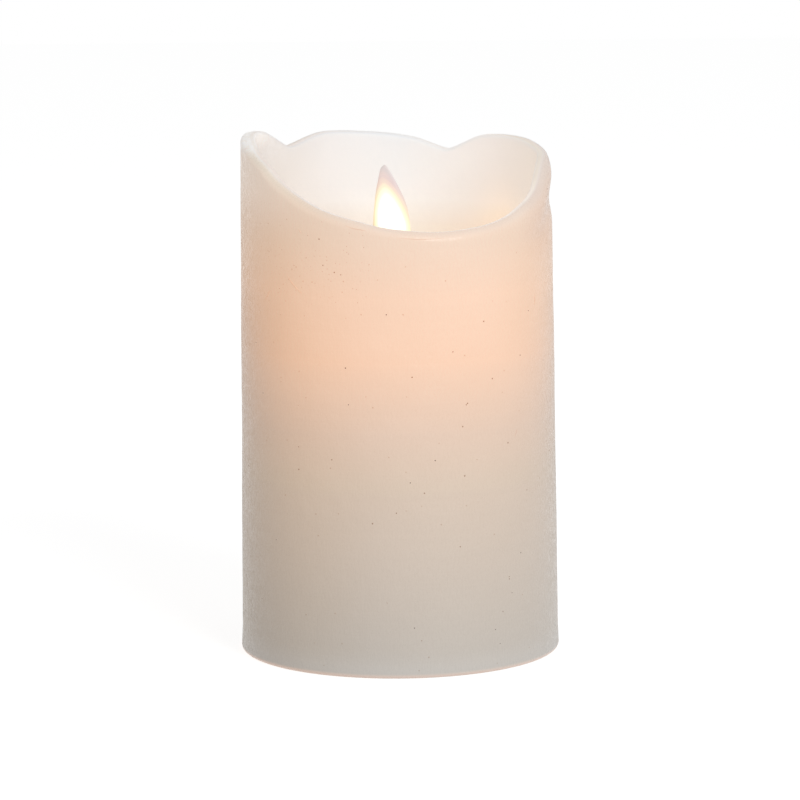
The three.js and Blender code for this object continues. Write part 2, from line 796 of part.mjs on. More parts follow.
// The whole tower before it is split down the middle into two halves
function towerShape() {
  const deckRadius = boreRadius - deckFit;
  const parts = [
    rod(deckRadius, deckHeight, deckTop, 0, 0, largeSides),
    rod(tubeRadius, deckTop - deckThick / 2, tubeTop + flangeThick / 2, 0, 0, largeSides),
    rod(flangeRadius, tubeTop, flangeTop, 0, 0, largeSides),
    rod(collarRadius, flangeTop - flangeThick / 2, collarTop, 0, 0, midSides),
  ];
  for (const [x, y] of legPlaces) parts.push(rod(legRadius, baseTop, deckTop - deckThick / 2, x, y));
  for (const y of [-earY, earY]) {
    for (const z of earRows) parts.push(rodAlongX(earRadius, -earHalfLength, earHalfLength, y, z));
  }
  const cuts = [
    rod(tubeBore, deckTop, tubeTop, 0, 0, largeSides),
    rod(collarRadius - collarWall, tubeTop - overrun, collarTop - collarLid, 0, 0, midSides),
    span(-slotWidth / 2, slotWidth / 2, -slotFront, slotBack, tubeTop, collarTop + overrun),
    rodAlongY(pivotWireRadius + fit, -tubeBore - wireSeat, tubeBore + wireSeat, 0, pivotZ),
    rod(screwShank + threadFit, deckHeight - overrun, deckTop + overrun),
  ];
  for (const [x, y] of legPlaces) {
    cuts.push(rod(screwShank + threadFit, baseTop - overrun, baseTop + baseScrewLength, x, y));
  }
  for (const side of [-1, 1]) {
    const depth = towerScrewLength - earHalfLength + fit;
    for (const z of earRows) {
      cuts.push(rodAlongX(screwShank + threadFit, -earHalfLength - overrun, depth, side * earY, z));
    }
    for (const x of [-wireDeckX, wireDeckX]) {
      const y = side * wireDeckY;
      cuts.push(rod(wireRadius + wireHoleFit, deckHeight - overrun, deckTop + overrun, x, y));
    }
  }
  const whole = cut(join(parts), cuts);
  const shelves = [-1, 1].map((side) => {
    const x = side * (shelfInset + shelfWidth / 2);
    const low = holderLow - fit - shelfThick;
    const reach = tubeBore + tubeWall / 4;
    return block(shelfWidth, shelfReach, shelfThick, x, shelfReach / 2 - reach, low);
  });
  return join([whole, ...shelves]);
}

function makeTower() {
  const tower = new THREE.Group();
  const whole = towerShape();
  const reach = waxRadius;
  const leftHalf = span(-reach, -seamGap / 2, -reach, reach, 0, rimHigh);
  const rightHalf = span(seamGap / 2, reach, -reach, reach, 0, rimHigh);
  tower.add(named('tower_left', whole.intersect(solidOf(leftHalf)), whitePlastic()));
  tower.add(named('tower_right', whole.intersect(solidOf(rightHalf)), whitePlastic()));
  const wireEnd = tubeBore + wireSeat - fit;
  const wire = rodAlongY(pivotWireRadius, -wireEnd, wireEnd, 0, 0);
  tower.add(placed(named('pivot_wire', wire, steelFinish()), 0, 0, pivotZ));
  let count = 0;
  for (const y of [-earY, earY]) {
    for (const z of earRows) {
      count += 1;
      const screw = makeScrew(`tower_screw_${count}`, towerScrewLength);
      screw.rotation.y = -Math.PI / 2;
      tower.add(placed(screw, -earHalfLength - fit, y, z));
    }
  }
  legPlaces.forEach(([x, y], i) => {
    const screw = makeScrew(`base_screw_${i + 1}`, baseScrewLength);
    screw.rotation.x = Math.PI;
    tower.add(placed(screw, x, y, baseTop - counterboreRoof));
  });
  return tower;
}

// Flame outline round its own lean, in the plane of the swing, with the pivot at 0
function flameOutline() {
  const rise = flameTip - pivotZ;
  const right = flameEdgeShares.map(
    ([heightShare, widthShare]) => [heightShare * rise, widthShare * flameHalfWidth],
  );
  const left = right.map(([height, half]) => [height, -half]).reverse();
  const lean = (height) => -height * Math.tan(flameLean);
  const outline = [[0, tailHalfWidth], ...right, [rise, 0], ...left, [0, -tailHalfWidth]];
  return outline.map(([height, half]) => new THREE.Vector2(lean(height) + half, height));
}

function flameShape() {
  const options = { depth: flameThick, bevelEnabled: false };
  const upper = new THREE.ExtrudeGeometry(new THREE.Shape(flameOutline()), options);
  upper.rotateX(Math.PI / 2).translate(0, flameThick / 2, 0);
  const footHigh = magnetLow + magnetHeight + footThick - pivotZ;
  const tailLow = footHigh - footThick / 2;
  const half = flameThick / 2;
  const body = join([
    upper,
    rodAlongY(eyeRadius, -half, half, 0, 0, midSides),
    span(-tailHalfWidth, tailHalfWidth, -half, half, tailLow, half),
    rod(footRadius, footHigh - footThick, footHigh, magnetShift, 0, midSides),
  ]);
  return cut(body, [rodAlongY(pivotWireRadius + pivotFit, -half - overrun, half + overrun, 0, 0)]);
}

function makePendulum() {
  const pendulum = placed(new THREE.Group(), 0, 0, pivotZ);
  pendulum.add(named('flame_blade', flameShape(), flameFinish()));
  const magnetShape = rod(magnetRadius, 0, magnetHeight, 0, 0, midSides);
  const magnet = named('pendulum_magnet', magnetShape, nickelFinish());
  pendulum.add(placed(magnet, magnetShift, 0, magnetLow - pivotZ));
  return pendulum;
}

// Lamp: a round-nosed body on a rim, with two legs, leaning towards the flame
function makeLamp() {
  const lamp = placed(new THREE.Group(), 0, lampY, lampHeight);
  lamp.rotation.x = -lampTilt;
  const shoulder = lampLength - lampRadius;
  const profile = [
    [0, 0], [lampRimRadius, 0], [lampRimRadius, lampRimHeight], [lampRadius, lampRimHeight],
  ];
  for (const turnShare of [0, 0.25, 0.5, 0.75]) {
    const angle = turnShare * Math.PI / 2;
    profile.push([lampRadius * Math.cos(angle), shoulder + lampRadius * Math.sin(angle)]);
  }
  profile.push([0, lampLength]);
  const legs = [-lampLegX, lampLegX].map((x) => block(
    partLeg, partLeg, lampLegLength + lampRimHeight / 2, x, 0, -lampLegLength,
  ));
  lamp.add(named('led_lamp', join([turned(profile, midSides), ...legs]), lensFinish()));
  return lamp;
}

function makeLampHolder() {
  const tilted = (geometry) => geometry.rotateX(-lampTilt).translate(0, lampY, lampHeight);
  const body = block(2 * holderHalfWidth, holderDepth, holderHeight, 0, lampY, holderLow);
  const reach = 2 * lampLength;
  const shape = cut(body, [
    tilted(rod(lampRadius + fit, -reach, reach, 0, 0, midSides)),
    tilted(rod(lampRimRadius + fit, -reach, lampRimHeight + fit, 0, 0, midSides)),
  ]);
  return named('led_holder', shape, whitePlastic());
}

// Drive coil on the deck: a flanged bobbin and the ridged ring of its winding
function makeCoil() {
  const coil = placed(new THREE.Group(), 0, 0, deckTop);
  const top = bobbinHeight;
  const pilotTop = coilScrewLength - deckThick + fit;
  const pilot = screwShank + threadFit;
  const bobbin = [
    [0, pilotTop], [pilot, pilotTop], [pilot, 0], [bobbinRadius, 0], [bobbinRadius, bobbinFlange],
    [bobbinCore, bobbinFlange], [bobbinCore, top - bobbinFlange], [bobbinRadius, top - bobbinFlange],
    [bobbinRadius, top], [0, top],
  ];
  coil.add(named('coil_bobbin', turned(bobbin, midSides), whitePlastic()));
  const inner = bobbinCore + fit;
  const outer = bobbinRadius - windingInset;
  const low = bobbinFlange + fit;
  const ridge = (top - 2 * low) / windingRidges;
  const winding = [[inner, low], [outer - windingRidge, low]];
  for (let i = 0; i < windingRidges; i += 1) {
    const ridgeLow = low + i * ridge;
    winding.push([outer, ridgeLow + ridge / 2], [outer - windingRidge, ridgeLow + ridge]);
  }
  winding.push([inner, top - low], [inner, low]);
  coil.add(named('coil_winding', turned(winding, midSides), copperFinish()));
  const screw = makeScrew('coil_screw', coilScrewLength);
  coil.add(placed(screw, 0, 0, -deckThick));
  screw.rotation.x = Math.PI;
  return coil;
}

// An inside wire: straight out of its start, past the points between, straight down on its pad
function wireAlong(start, out, between, padShares, side) {
  const from = new THREE.Vector3(...start);
  const leaving = from.clone().addScaledVector(new THREE.Vector3(...out), wireLead);
  const padX = padShares[0] * boardLength / 2;
  const padY = padShares[1] * boardDepth / 2 * side;
  const pad = new THREE.Vector3(padX, padY, boardTop + fit);
  const over = pad.clone().setZ(pad.z + wireLead);
  const points = [from, leaving, ...between.map((point) => new THREE.Vector3(...point)), over, pad];
  return tubeAlong(points, wireRadius, wireSteps, wireArcs);
}

function makeWires() {
  const wires = new THREE.Group();
  const red = () => finish(0xb3261e, 0.45);
  const black = () => finish(0x202022, 0.45);
  const up = [0, 0, 1];
  const padHeight = boardTop + fit + wireLead;

  const tab = [bayLength / 2 - contactThick / 2, cellY, bayRoofTop + tabRise + fit];
  const leadHigh = padHeight + wireArch / 2;
  const overBoard = [boardLength / 2 + wireRadius, cellY * batteryPadShares[1] * 2, leadHigh];
  const battery = wireAlong(tab, up, [overBoard], batteryPadShares, 1);

  const terminal = [switchLength / 2, switchY - switchDepth / 3, switchTop + switchBoardThick + fit];
  const overEdge = [switchLength / 2 + wireRadius, -boardDepth / 2 - wireLead, padHeight];
  const switching = wireAlong(terminal, up, [overEdge], switchPadShares, -1);

  const legDrop = lampLegLength + fit;
  const down = [0, -Math.sin(lampTilt), -Math.cos(lampTilt)];
  const lampLeg = [lampLegX, lampY + down[1] * legDrop, lampHeight + down[2] * legDrop];
  const throughDeck = (side) => [
    [wireDeckX, side * wireDeckY, deckTop + wireLead],
    [wireDeckX, side * wireDeckY, deckHeight - wireLead],
  ];
  const lamp = wireAlong(lampLeg, down, throughDeck(-1), lampPadShares, -1);

  const windingRadius = bobbinRadius - windingInset;
  const coilEnd = [wireDeckX, windingRadius, deckTop + bobbinFlange + fit + wireLead];
  const coil = wireAlong(coilEnd, [0, 1, 0], throughDeck(1).slice(1), coilPadShares, 1);

  const mirrored = (geometry, x, y) => {
    const copy = geometry.clone().scale(x, y, 1);
    const corners = copy.attributes.position.array;
    for (let i = 0; i < corners.length; i += 9) {
      const first = corners.slice(i, i + 3);
      corners.copyWithin(i, i + 3, i + 6);
      corners.set(first, i + 3);
    }
    copy.computeVertexNormals();
    return copy;
  };
  wires.add(named('battery_lead_red', battery, red()));
  wires.add(named('battery_lead_black', mirrored(battery, 1, -1), black()));
  for (const [name, shape] of [['switch_wire', switching], ['lamp_wire', lamp], ['coil_wire', coil]]) {
    wires.add(named(`${name}_1`, mirrored(shape, -1, 1), red()));
    wires.add(named(`${name}_2`, shape, black()));
  }
  return wires;
}

const group = new THREE.Group();
group.add(
  makeWaxShell(),
  makeBatteryTub(),
  makeBatteryDoor(),
  makeCells(),
  makeContacts(),
  makeSwitch(),
  makeControlBoard(),
  makeTower(),
  makePendulum(),
  makeLamp(),
  makeLampHolder(),
  makeCoil(),
  makeWires(),
);

export default group;
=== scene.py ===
# Looks of a flameless candle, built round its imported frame.
# Metres, +Z up, front towards -Y, azimuths in degrees from +X.
import math
import random

import bmesh
import bpy
from mathutils import Matrix, Vector, bvhtree, noise


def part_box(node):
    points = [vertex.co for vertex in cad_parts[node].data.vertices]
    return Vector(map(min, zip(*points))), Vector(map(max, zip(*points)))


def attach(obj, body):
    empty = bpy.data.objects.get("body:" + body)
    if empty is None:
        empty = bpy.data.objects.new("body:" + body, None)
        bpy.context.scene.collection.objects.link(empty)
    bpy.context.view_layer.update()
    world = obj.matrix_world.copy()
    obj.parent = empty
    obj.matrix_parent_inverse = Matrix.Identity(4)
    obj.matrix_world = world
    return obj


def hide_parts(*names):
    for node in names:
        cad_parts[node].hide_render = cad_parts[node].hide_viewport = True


# Camera and light
CAMERA_PLACE = (0.0004, -1.0, 0.2173)
CAMERA_PITCH = math.radians(81.03)
CAMERA_ROLL = math.radians(-0.5)
LENS = 191.4
SENSOR = 36
KEY_PLACE = (0.6, -1.05, 0.6)
KEY_SIZE = 0.7
KEY_POWER = 7.0
KEY_COLOUR = (0.93, 0.98, 1.0)
FILL_PLACE = (-0.9, -0.8, 0.35)
FILL_SIZE = 0.8
FILL_POWER = 0.45
FILL_COLOUR = (1.0, 0.97, 0.94)
TARGET_HEIGHT = 0.06
WORLD_LEVEL = 0.44
FLOOR_HALF = 2.0
FLOOR_GREY = 0.6
FLOOR_LIFT = 0.72
FLOOR_LEVEL = -0.0001

# Wax shell
WAX_WALL = 0.0045
WAX_TAPER = 0.0012
WELL_TAPER = 0.0004
FOOT_ROUND = 0.001
RIM_SPREAD = 0.0198
RIM_INSET = 0.0019
RIM_DROP = 0.0018
LIP_SQUARE = 0.55
LIP_REACH = 0.0004
LOBE_SHOULDER = 0.006
NECK_DEPTH = 0.0007
NECK_HEIGHT_SHARE = 0.955
NECK_REACH_SHARE = 0.03
WELL_FLOOR = 0.090
WELL_FLOOR_THICK = 0.004
WELL_FILLET = 0.005
WELL_DISH = 0.0006
FLAME_HOLE = 0.012
# GLOW_AZIMUTH is where the lamplight through the wall is strongest; SIDE_GLOW is the share left to the sides
# and back, a painted shade
GLOW_AZIMUTH = -85
SIDE_GLOW = 0.4
SHEEN = 0.5
SHEEN_ROUGHNESS = 0.3
SHEEN_TINT = (1.0, 0.94, 0.88, 1)
# Painted highlights, light and shade on the wax, all but FROST_COLOUR
LIP_HIGHLIGHT_COLOUR = (0.79, 0.71, 0.64)
LIP_LINE_HIGHLIGHT = (0.07, 0.055, 0.04)
LEFT_LINE_HIGHLIGHT = (0.12, 0.07, 0.045)
FOOT_EDGE_GLOW = (0.20, 0.10, 0.06)
FOOT_BAND_GLOW = (0.015, 0.022, 0.03)
LOBE_LINE_SHADE = (0.05, 0.06, 0.075)
BROW_LIGHT = (0.0, 0.01, 0.035)
BROW_SHADE = (0.03, 0.0, 0.0)
LEFT_BROW_SHADE = (0.07, 0.035, 0.03)
FLANK_SHADE = (0.03, 0.045, 0.04)
LEFT_TOP_LIGHT = (0.05, 0.06, 0.065)
FROST_COLOUR = (0.88, 0.85, 0.83)
CROWN_GLOW = (0.26, 0.255, 0.25)
# Shades of the wax, most of them painted light and shade, each from where it begins to where it is full: by
# height, or across from the middle
COOL_HEIGHTS = (0.075, 0.0)
BAND_RISE = (0.068, 0.082)
BAND_FALL = (0.108, 0.098)
LIFT_HEIGHTS = (0.070, 0.105)
OVER_FLOOR_HEIGHTS = (0.087, 0.091)
SOLE_HEIGHTS = (0.0013, 0.0004)
NEAR_SOLE_HEIGHTS = (0.007, 0.001)
LEFTWARD_REACH = (-0.004, -0.028)
FLANKS_REACH = (0.018, 0.032)
# Patches of painted light and shade, and of frost, in the same way: along X, then by height
LEFT_FROST_PATCH = [(-0.022, -0.034), (0.110, 0.120)]
CROWN_PATCH = [(-0.028, -0.033), (0.1185, 0.1215)]
LOBE_PATCH = [(0.020, 0.030), (0.1095, 0.114)]
FLANK_PATCH = [(0.027, 0.034), (0.092, 0.102)]
LEFT_TOP_PATCH = [(-0.012, -0.032), (0.101, 0.1145)]
# Rings of frost, of flame light and of painted light and shade: how deep in from the wall's outside, and how
# far out from the bore
FROST_DEPTH = 0.001
FROST_MARGIN = 0.0006
INSIDE_DEPTH = 0.0015
INSIDE_MARGIN = 0.0003
BROW_DEPTH = 0.001
SOLE_DEPTHS = (0.0014, 0.0007)
LINE_RISE = (-0.0001, 0.0002)
LINE_FALL = (0.0013, 0.0006)
# Heights over the well's floor where the rim's frost, painted highlight and painted shade begin and where
# they are full
FROST_CLIMB = (0.008, 0.014)
LINE_CLIMB = (0.008, 0.012)
BROW_CLIMB = (0.006, 0.010)
# Warm spots on the wall of the well: centre, reach, added light
WELL_SPOTS = [
    ((0.0255, 0.0215, 0.101), 0.013, (0.08, 0.04, 0.0)),
    ((-0.0005, 0.0333, 0.1005), 0.010, (0.03, 0.02, 0.005)),
]
WAX_COLUMNS = 400
WALL_ROWS = 130
SHOULDER_ROWS = 12
LIP_ROWS = 14
WELL_ROWS = 24
FILLET_ROWS = 8
FLOOR_ROWS = 10
BORE_ROWS = 12
ROUND_ROWS = 5
WAVE_DEPTH = 0.00022
WAVE_SIZE = 0.022
RIPPLE_DEPTH = 0.00007
RIPPLE_SIZE = 0.0032
# Rim crest: azimuth, then the height from the rim's lowest to its highest point
RIM_CREST_SHARES = [
    (-90, 0.04), (-74, 0), (-58, 0.03), (-50, 0.066), (-41, 0.135), (-34, 0.215), (-26, 0.305),
    (-20, 0.41), (-14, 0.59), (-7, 0.71), (3, 0.76), (11, 0.785), (19, 0.815), (27, 0.845),
    (38, 0.86), (49, 0.85), (55, 0.815), (60, 0.752), (65, 0.686), (69, 0.652), (75, 0.706),
    (82, 0.778), (92, 0.832), (104, 0.865), (116, 0.885), (122, 0.878), (128, 0.836),
    (135, 0.775), (140, 0.752), (146, 0.825), (152, 0.905), (159, 0.97), (172, 1), (180, 0.98),
    (188, 0.935), (196, 0.86), (203, 0.778), (210, 0.70), (217, 0.573), (225, 0.45),
    (232, 0.352), (239, 0.264), (247, 0.19), (254, 0.14), (262, 0.08),
]
# How much of the lobe's soft shoulder the rim has: azimuth, share of LOBE_SHOULDER
SHOULDER_SHARES = [
    (-90, 0.34), (-40, 0.45), (-12, 0.75), (12, 1), (45, 0.75), (70, 0.4), (105, 0.45),
    (138, 0.32), (160, 0.26), (200, 0.24), (230, 0.34),
]
# The shallow neck under the right lobe: azimuth, share of NECK_DEPTH
NECK_SHARES = [(-60, 0), (-25, 0.4), (0, 1), (25, 0.4), (60, 0), (150, 0), (240, 0)]

# Flame
FLAME_HALF = 0.0049
FLAME_THICK = 0.001
FLAME_LEAN = math.radians(4.2)
FLAME_SHIFT = -0.00017
FLAME_SHIFT_FROM = 0.3
FLAME_ROWS = 64
FLAME_ARC = 10
FLAME_LENS_POWER = 0.7
FLAME_EDGE_THICK_SHARE = 0.25
TAIL_THICK_SHARE = 0.8
PIVOT_HEIGHT = 0.082
TAIL_HALF = 0.0012
EYE_RADIUS = 0.0019
EYE_BORE = 0.00055
FOOT_RADIUS = 0.003
FOOT_THICK = 0.0015
EYE_ROUND = 0.0002
EYE_OVERLAP_SHARE = 0.6
# The lit part of the flame: a half oval over LIT_HEIGHT that tilts to the left
LIT_HEIGHT = 0.1014
LIT_HALF = 0.00405
LIT_RISE = 0.0094
LIT_SHIFT = 0.00114
LIT_TILT = 0.185
LIT_DRIFT = 0.047
LIT_POWER = 1.6
# Painted light towards the flame's tip
FLAME_TIP_GLOW = (0.08, 0.08, 0.06)
# Flame edge round its lean: height from the pivot to the tip, left and right half width in FLAME_HALF
FLAME_EDGE_SHARES = [
    (0, 0.25, 0.25), (0.06, 0.26, 0.26), (0.12, 0.37, 0.37), (0.18, 0.58, 0.58), (0.24, 0.8, 0.8),
    (0.31, 0.94, 0.95), (0.39, 0.97, 1), (0.47, 0.91, 0.99), (0.543, 0.85, 0.985), (0.632, 0.775, 0.96),
    (0.697, 0.70, 0.91), (0.766, 0.615, 0.775), (0.822, 0.535, 0.62), (0.89, 0.40, 0.42),
    (0.945, 0.295, 0.245), (0.975, 0.225, 0.14), (0.992, 0.135, 0.06), (1, 0.03, -0.01),
]

# Millimetres in a metre, for the tables below
MM = 1000
# Flecks in the wax: azimuth, height in millimetres
DARK_FLECKS = [
    (-94, 85), (-153, 76), (-40, 73.5), (-23.5, 71), (-77, 51), (-86, 46), (-140, 30.5), (-41, 27),
    (-46, 18), (-85, 12), (-54, 10), (-52, 6.5), (-148, 64.5), (-109, 72.5), (-108, 64), (-34.5, 83.5),
]
BROWN_FLECKS = [
    (-119, 102), (-70, 76), (-54, 69), (-65, 63.5), (-64.5, 63.8), (-18, 49), (-81, 43.5), (-114.5, 51),
    (-128.5, 48), (-57.5, 82.5), (-117.5, 96), (-113, 94.5), (-110.5, 94), (-85, 70.5), (-66.5, 58.5),
    (-47, 53.5), (-66, 47), (-37, 41.5), (-91, 39), (-99.5, 36.5), (-149.5, 15.5), (-68, 30.5),
    (-50.5, 14), (-128.5, 53.3), (-161.5, 46), (-15.5, 110.7), (-17, 109), (-47.3, 21.9), (-47.3, 21.4),
]
FAINT_FLECKS = [
    (-133.5, 106), (-144, 104.5), (-124.5, 97.5), (-110, 90), (-100, 96.5), (-130, 95.5), (-131, 94.5),
    (-129, 95.2), (-122, 92), (-103, 85), (-141, 77), (-134.5, 87), (-125.5, 84), (-49.5, 65.5),
    (-87, 66), (-41, 60.5), (-75.5, 55), (-87.5, 48.5), (-28, 43.5), (-135, 41.5), (-112, 38.5),
    (-121, 38), (-125.5, 14), (-113.5, 15), (-122, 7.5), (-118, 2.5), (-94.5, 18), (-82, 40.5),
    (-87.5, 39.5), (-65.5, 40), (-75, 36), (-54, 32.5), (-40.5, 17), (-82.5, 9), (-37, 4), (-53.5, 2),
    (-83.5, 2), (-80, 5), (-128, 71), (-137, 69), (-137, 68), (-101.5, 66), (-99, 63.5), (-125, 65),
    (-134, 54.5), (-115, 49), (-93.5, 52), (-87, 96), (-88, 85), (-41, 97.5), (-121, 98), (-116, 98),
    (-115, 94), (-109.5, 92.5), (-126, 92), (-97, 93), (-120, 33), (-72.5, 92.5), (-111, 8),
    (-128.5, 63), (-146, 53.5), (-53.5, 87), (-47, 86.5), (-65.5, 75), (-48.5, 70.5), (-61, 50.5),
]
FLECK_RADIUS = 0.00015
FLECK_VARIATION = (0.8, 1.2)
FLECK_RISE_SHARE = 0.35
# Half section of a fleck: shares of its radius and of its rise
FLECK_PROFILE_SHARES = [(0, -1), (0.75, -0.6), (1, 0), (0.7, 0.7), (0, 1)]
BACK_FLECKS = 60
BACK_AZIMUTHS = (0, 180)
BACK_HEIGHT_SHARES = (0.05, 0.85)
# Pits: darker grains in a cluster, a painted shade for small pits in the wax
PIT_COUNT = 90
PIT_AZIMUTHS = (-150, -100)
PIT_HEIGHT = 0.095
PIT_SPREAD = 0.006
PIT_RADIUS = 0.00008
PIT_VARIATION = (0.7, 1.3)
FLECK_SEED = 7

# Edges that stay sharp, the soft edge of moulded plastic and the winding's pitch
SHARP_ANGLE = math.radians(40)
EDGE_ROUND = 0.00025
WINDING_PITCH = 0.00045

# Raised marks: words, letter size and middle in millimetres, and the body that carries them
MARK_RISE = 0.00022
MARK_SINK = 0.00005
MARK_WELD = 1e-7
OUTER_MARKS = [
    ("switch_on_mark", "ON", 2.2, (-7.2, -24.5), "candle"),
    ("switch_off_mark", "OFF", 2.2, (7.6, -24.5), "candle"),
    ("door_open_mark", "OPEN", 2.4, (9.6, 0), "door"),
]
INNER_MARKS = [
    ("door_plus_a", "+", 5.0, (19, 7.45), "door"),
    ("door_minus_a", "-", 5.0, (-17, 7.45), "door"),
    ("door_plus_b", "+", 5.0, (-19, -7.45), "door"),
    ("door_minus_b", "-", 5.0, (17, -7.45), "door"),
]
ARROW_TIP = (3.6, 0)
ARROW_SIZE = 1.3
ARROW_STEM_SHARE = 0.35

# Hairlines in the wax: azimuths and heights from one end to the other
HAIRLINES = [
    [(-109, 105.4), (-106, 104.7), (-103, 104.4), (-101, 104.2)],
    [(-106, 104.8), (-103.5, 104.5), (-101.5, 104.3)],
    [(-133.5, 93), (-130.5, 91), (-126.5, 89)],
    [(-143, 89), (-146, 86.5)],
    [(-128, 104), (-126.5, 103)],
    [(-30, 87), (-30, 84.5)],
    [(-42, 56.5), (-43.5, 54.5)],
    [(-90, 102.6), (-82, 102.2), (-72.5, 102.2)],
]
HAIRLINE_RADIUS = 0.00008
HAIRLINE_END_SHARE = 0.15
HAIRLINE_STEPS = 24

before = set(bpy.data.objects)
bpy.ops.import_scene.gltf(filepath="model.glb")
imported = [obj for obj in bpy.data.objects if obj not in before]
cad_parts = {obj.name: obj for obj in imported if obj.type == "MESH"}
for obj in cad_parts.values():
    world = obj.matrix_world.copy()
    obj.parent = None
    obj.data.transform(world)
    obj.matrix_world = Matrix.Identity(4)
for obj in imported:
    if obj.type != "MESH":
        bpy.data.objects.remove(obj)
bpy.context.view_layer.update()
wax_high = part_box("wax_shell")[1]
wax_radius = wax_high.x
bore_radius = wax_radius - WAX_WALL
rim_low = wax_high.z - RIM_SPREAD
flame_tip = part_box("flame_blade")[1].z


# Tables round the axis
def around(table, azimuth):
    """A smooth value at an azimuth, from a table that closes on itself."""
    turn = 360
    start = table[0][0]
    angle = start + (azimuth - start) % turn
    count = len(table)

    def knot(i):
        at, share = table[i % count]
        return at + turn * (i // count), share

    i = 0
    while knot(i + 1)[0] <= angle:
        i += 1

    def slope(k):
        return (knot(k + 1)[1] - knot(k - 1)[1]) / (knot(k + 1)[0] - knot(k - 1)[0])

    width = knot(i + 1)[0] - knot(i)[0]
    t = (angle - knot(i)[0]) / width
    ease = t * t * (3 - 2 * t)
    lead = t * (1 - t) ** 2 * width * slope(i)
    trail = t * t * (t - 1) * width * slope(i + 1)
    return knot(i)[1] * (1 - ease) + knot(i + 1)[1] * ease + lead + trail


def between(table, at):
    """Straight-line values from a table of rising positions."""
    for (low, *first), (high, *second) in zip(table, table[1:]):
        if at <= high:
            share = (at - low) / (high - low)
            return [a + (b - a) * share for a, b in zip(first, second)]
    return list(table[-1][1:])


# Meshes
def mesh_object(name, points, faces, smooth=True):
    mesh = bpy.data.meshes.new(name)
    mesh.from_pydata(points, [], faces)
    if smooth:
        mesh.polygons.foreach_set("use_smooth", [True] * len(mesh.polygons))
    made = bpy.data.objects.new(name, mesh)
    bpy.context.scene.collection.objects.link(made)
    return made


class Solid:
    """Closed shells that end up in one mesh."""

    def __init__(self):
        self.points = []
        self.faces = []

    def turned(self, profile, place=(0, 0, 0), axis=(0, 0, 1), sides=48, closed=False):
        """A profile of (radius, height) turned round an axis; a radius of 0 is a pole."""
        turn = Vector(axis).to_track_quat("Z", "Y")
        rings = []
        for radius, height in profile:
            count = sides if radius else 1
            rings.append(range(len(self.points), len(self.points) + count))
            for i in range(count):
                angle = 2 * math.pi * i / sides
                local = Vector((radius * math.cos(angle), radius * math.sin(angle), height))
                self.points.append(Vector(place) + turn @ local)
        pairs = list(zip(rings, rings[1:] + rings[:1])) if closed else list(zip(rings, rings[1:]))
        for low, high in pairs:
            for i in range(sides):
                beside = (i + 1) % sides
                corners = [low[i % len(low)], low[beside % len(low)], high[beside % len(high)],
                           high[i % len(high)]]
                self.faces.append(tuple(dict.fromkeys(corners)))

    def tube(self, route, radii, sides=8):
        """A round tube along a route, with a radius at each point and capped ends."""
        route = [Vector(point) for point in route]
        start = len(self.points)
        normal = None
        for i, point in enumerate(route):
            along = (route[min(i + 1, len(route) - 1)] - route[max(i - 1, 0)]).normalized()
            if normal is None:
                normal = along.orthogonal()
            normal = (normal - along * normal.dot(along)).normalized()
            across = along.cross(normal)
            for k in range(sides):
                angle = 2 * math.pi * k / sides
                self.points.append(point + radii[i] * (normal * math.cos(angle) + across * math.sin(angle)))
        for i in range(len(route) - 1):
            for k in range(sides):
                beside = (k + 1) % sides
                low = start + i * sides
                self.faces.append((low + k, low + beside, low + sides + beside, low + sides + k))
        self.faces.append(tuple(range(start, start + sides)))
        end = start + (len(route) - 1) * sides
        self.faces.append(tuple(range(end, end + sides)))

    def loft(self, rings):
        """Rings of equal counts joined in order, with capped ends."""
        start = len(self.points)
        count = len(rings[0])
        for ring in rings:
            self.points += [Vector(point) for point in ring]
        for row in range(len(rings) - 1):
            for i in range(count):
                beside = (i + 1) % count
                low = start + row * count
                self.faces.append((low + i, low + beside, low + count + beside, low + count + i))
        end = start + (len(rings) - 1) * count
        self.faces.append(tuple(range(start, start + count)))
        self.faces.append(tuple(range(end, end + count)))

    def make(self, name):
        shape = bmesh.new()
        corners = [shape.verts.new(point) for point in self.points]
        for face in self.faces:
            shape.faces.new([corners[i] for i in face])
        bmesh.ops.recalc_face_normals(shape, faces=shape.faces[:])
        mesh = bpy.data.meshes.new(name)
        shape.to_mesh(mesh)
        shape.free()
        mesh.shade_smooth()
        mesh.set_sharp_from_angle(angle=SHARP_ANGLE)
        made = bpy.data.objects.new(name, mesh)
        bpy.context.scene.collection.objects.link(made)
        return made


def united(name, solids):
    """One closed mesh from shells that overlap."""
    made = solids[0].make(name)
    others = [solid.make(f"{name}_part") for solid in solids[1:]]
    for other in others:
        join = made.modifiers.new("join", "BOOLEAN")
        join.operation = "UNION"
        join.solver = "EXACT"
        join.object = other
    bpy.context.view_layer.update()
    mesh = bpy.data.meshes.new_from_object(made.evaluated_get(bpy.context.evaluated_depsgraph_get()))
    made.modifiers.clear()
    made.data = mesh
    for other in others:
        bpy.data.objects.remove(other)
    mesh.shade_smooth()
    mesh.set_sharp_from_angle(angle=SHARP_ANGLE)
    return made


def fit_out(made, body, slot, material, *replaced):
    """Gives a piece its finish, its body and the nodes that it stands for."""
    made.data.materials.clear()
    made.data.materials.append(material)
    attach(made, body)
    if replaced:
        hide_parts(*replaced)


def ring_faces(columns, rows, closed_rows=False):
    """Quads over a grid of columns that closes round, and round its rows too if asked."""
    faces = []
    for column in range(columns):
        beside = (column + 1) % columns
        for row in range(rows if closed_rows else rows - 1):
            above = (row + 1) % rows
            faces.append((
                column * rows + row, beside * rows + row, beside * rows + above, column * rows + above,
            ))
    return faces


def quarter(steps, skip_first=True):
    """Angles over a quarter turn."""
    return [math.pi / 2 * i / steps for i in range(1 if skip_first else 0, steps + 1)]


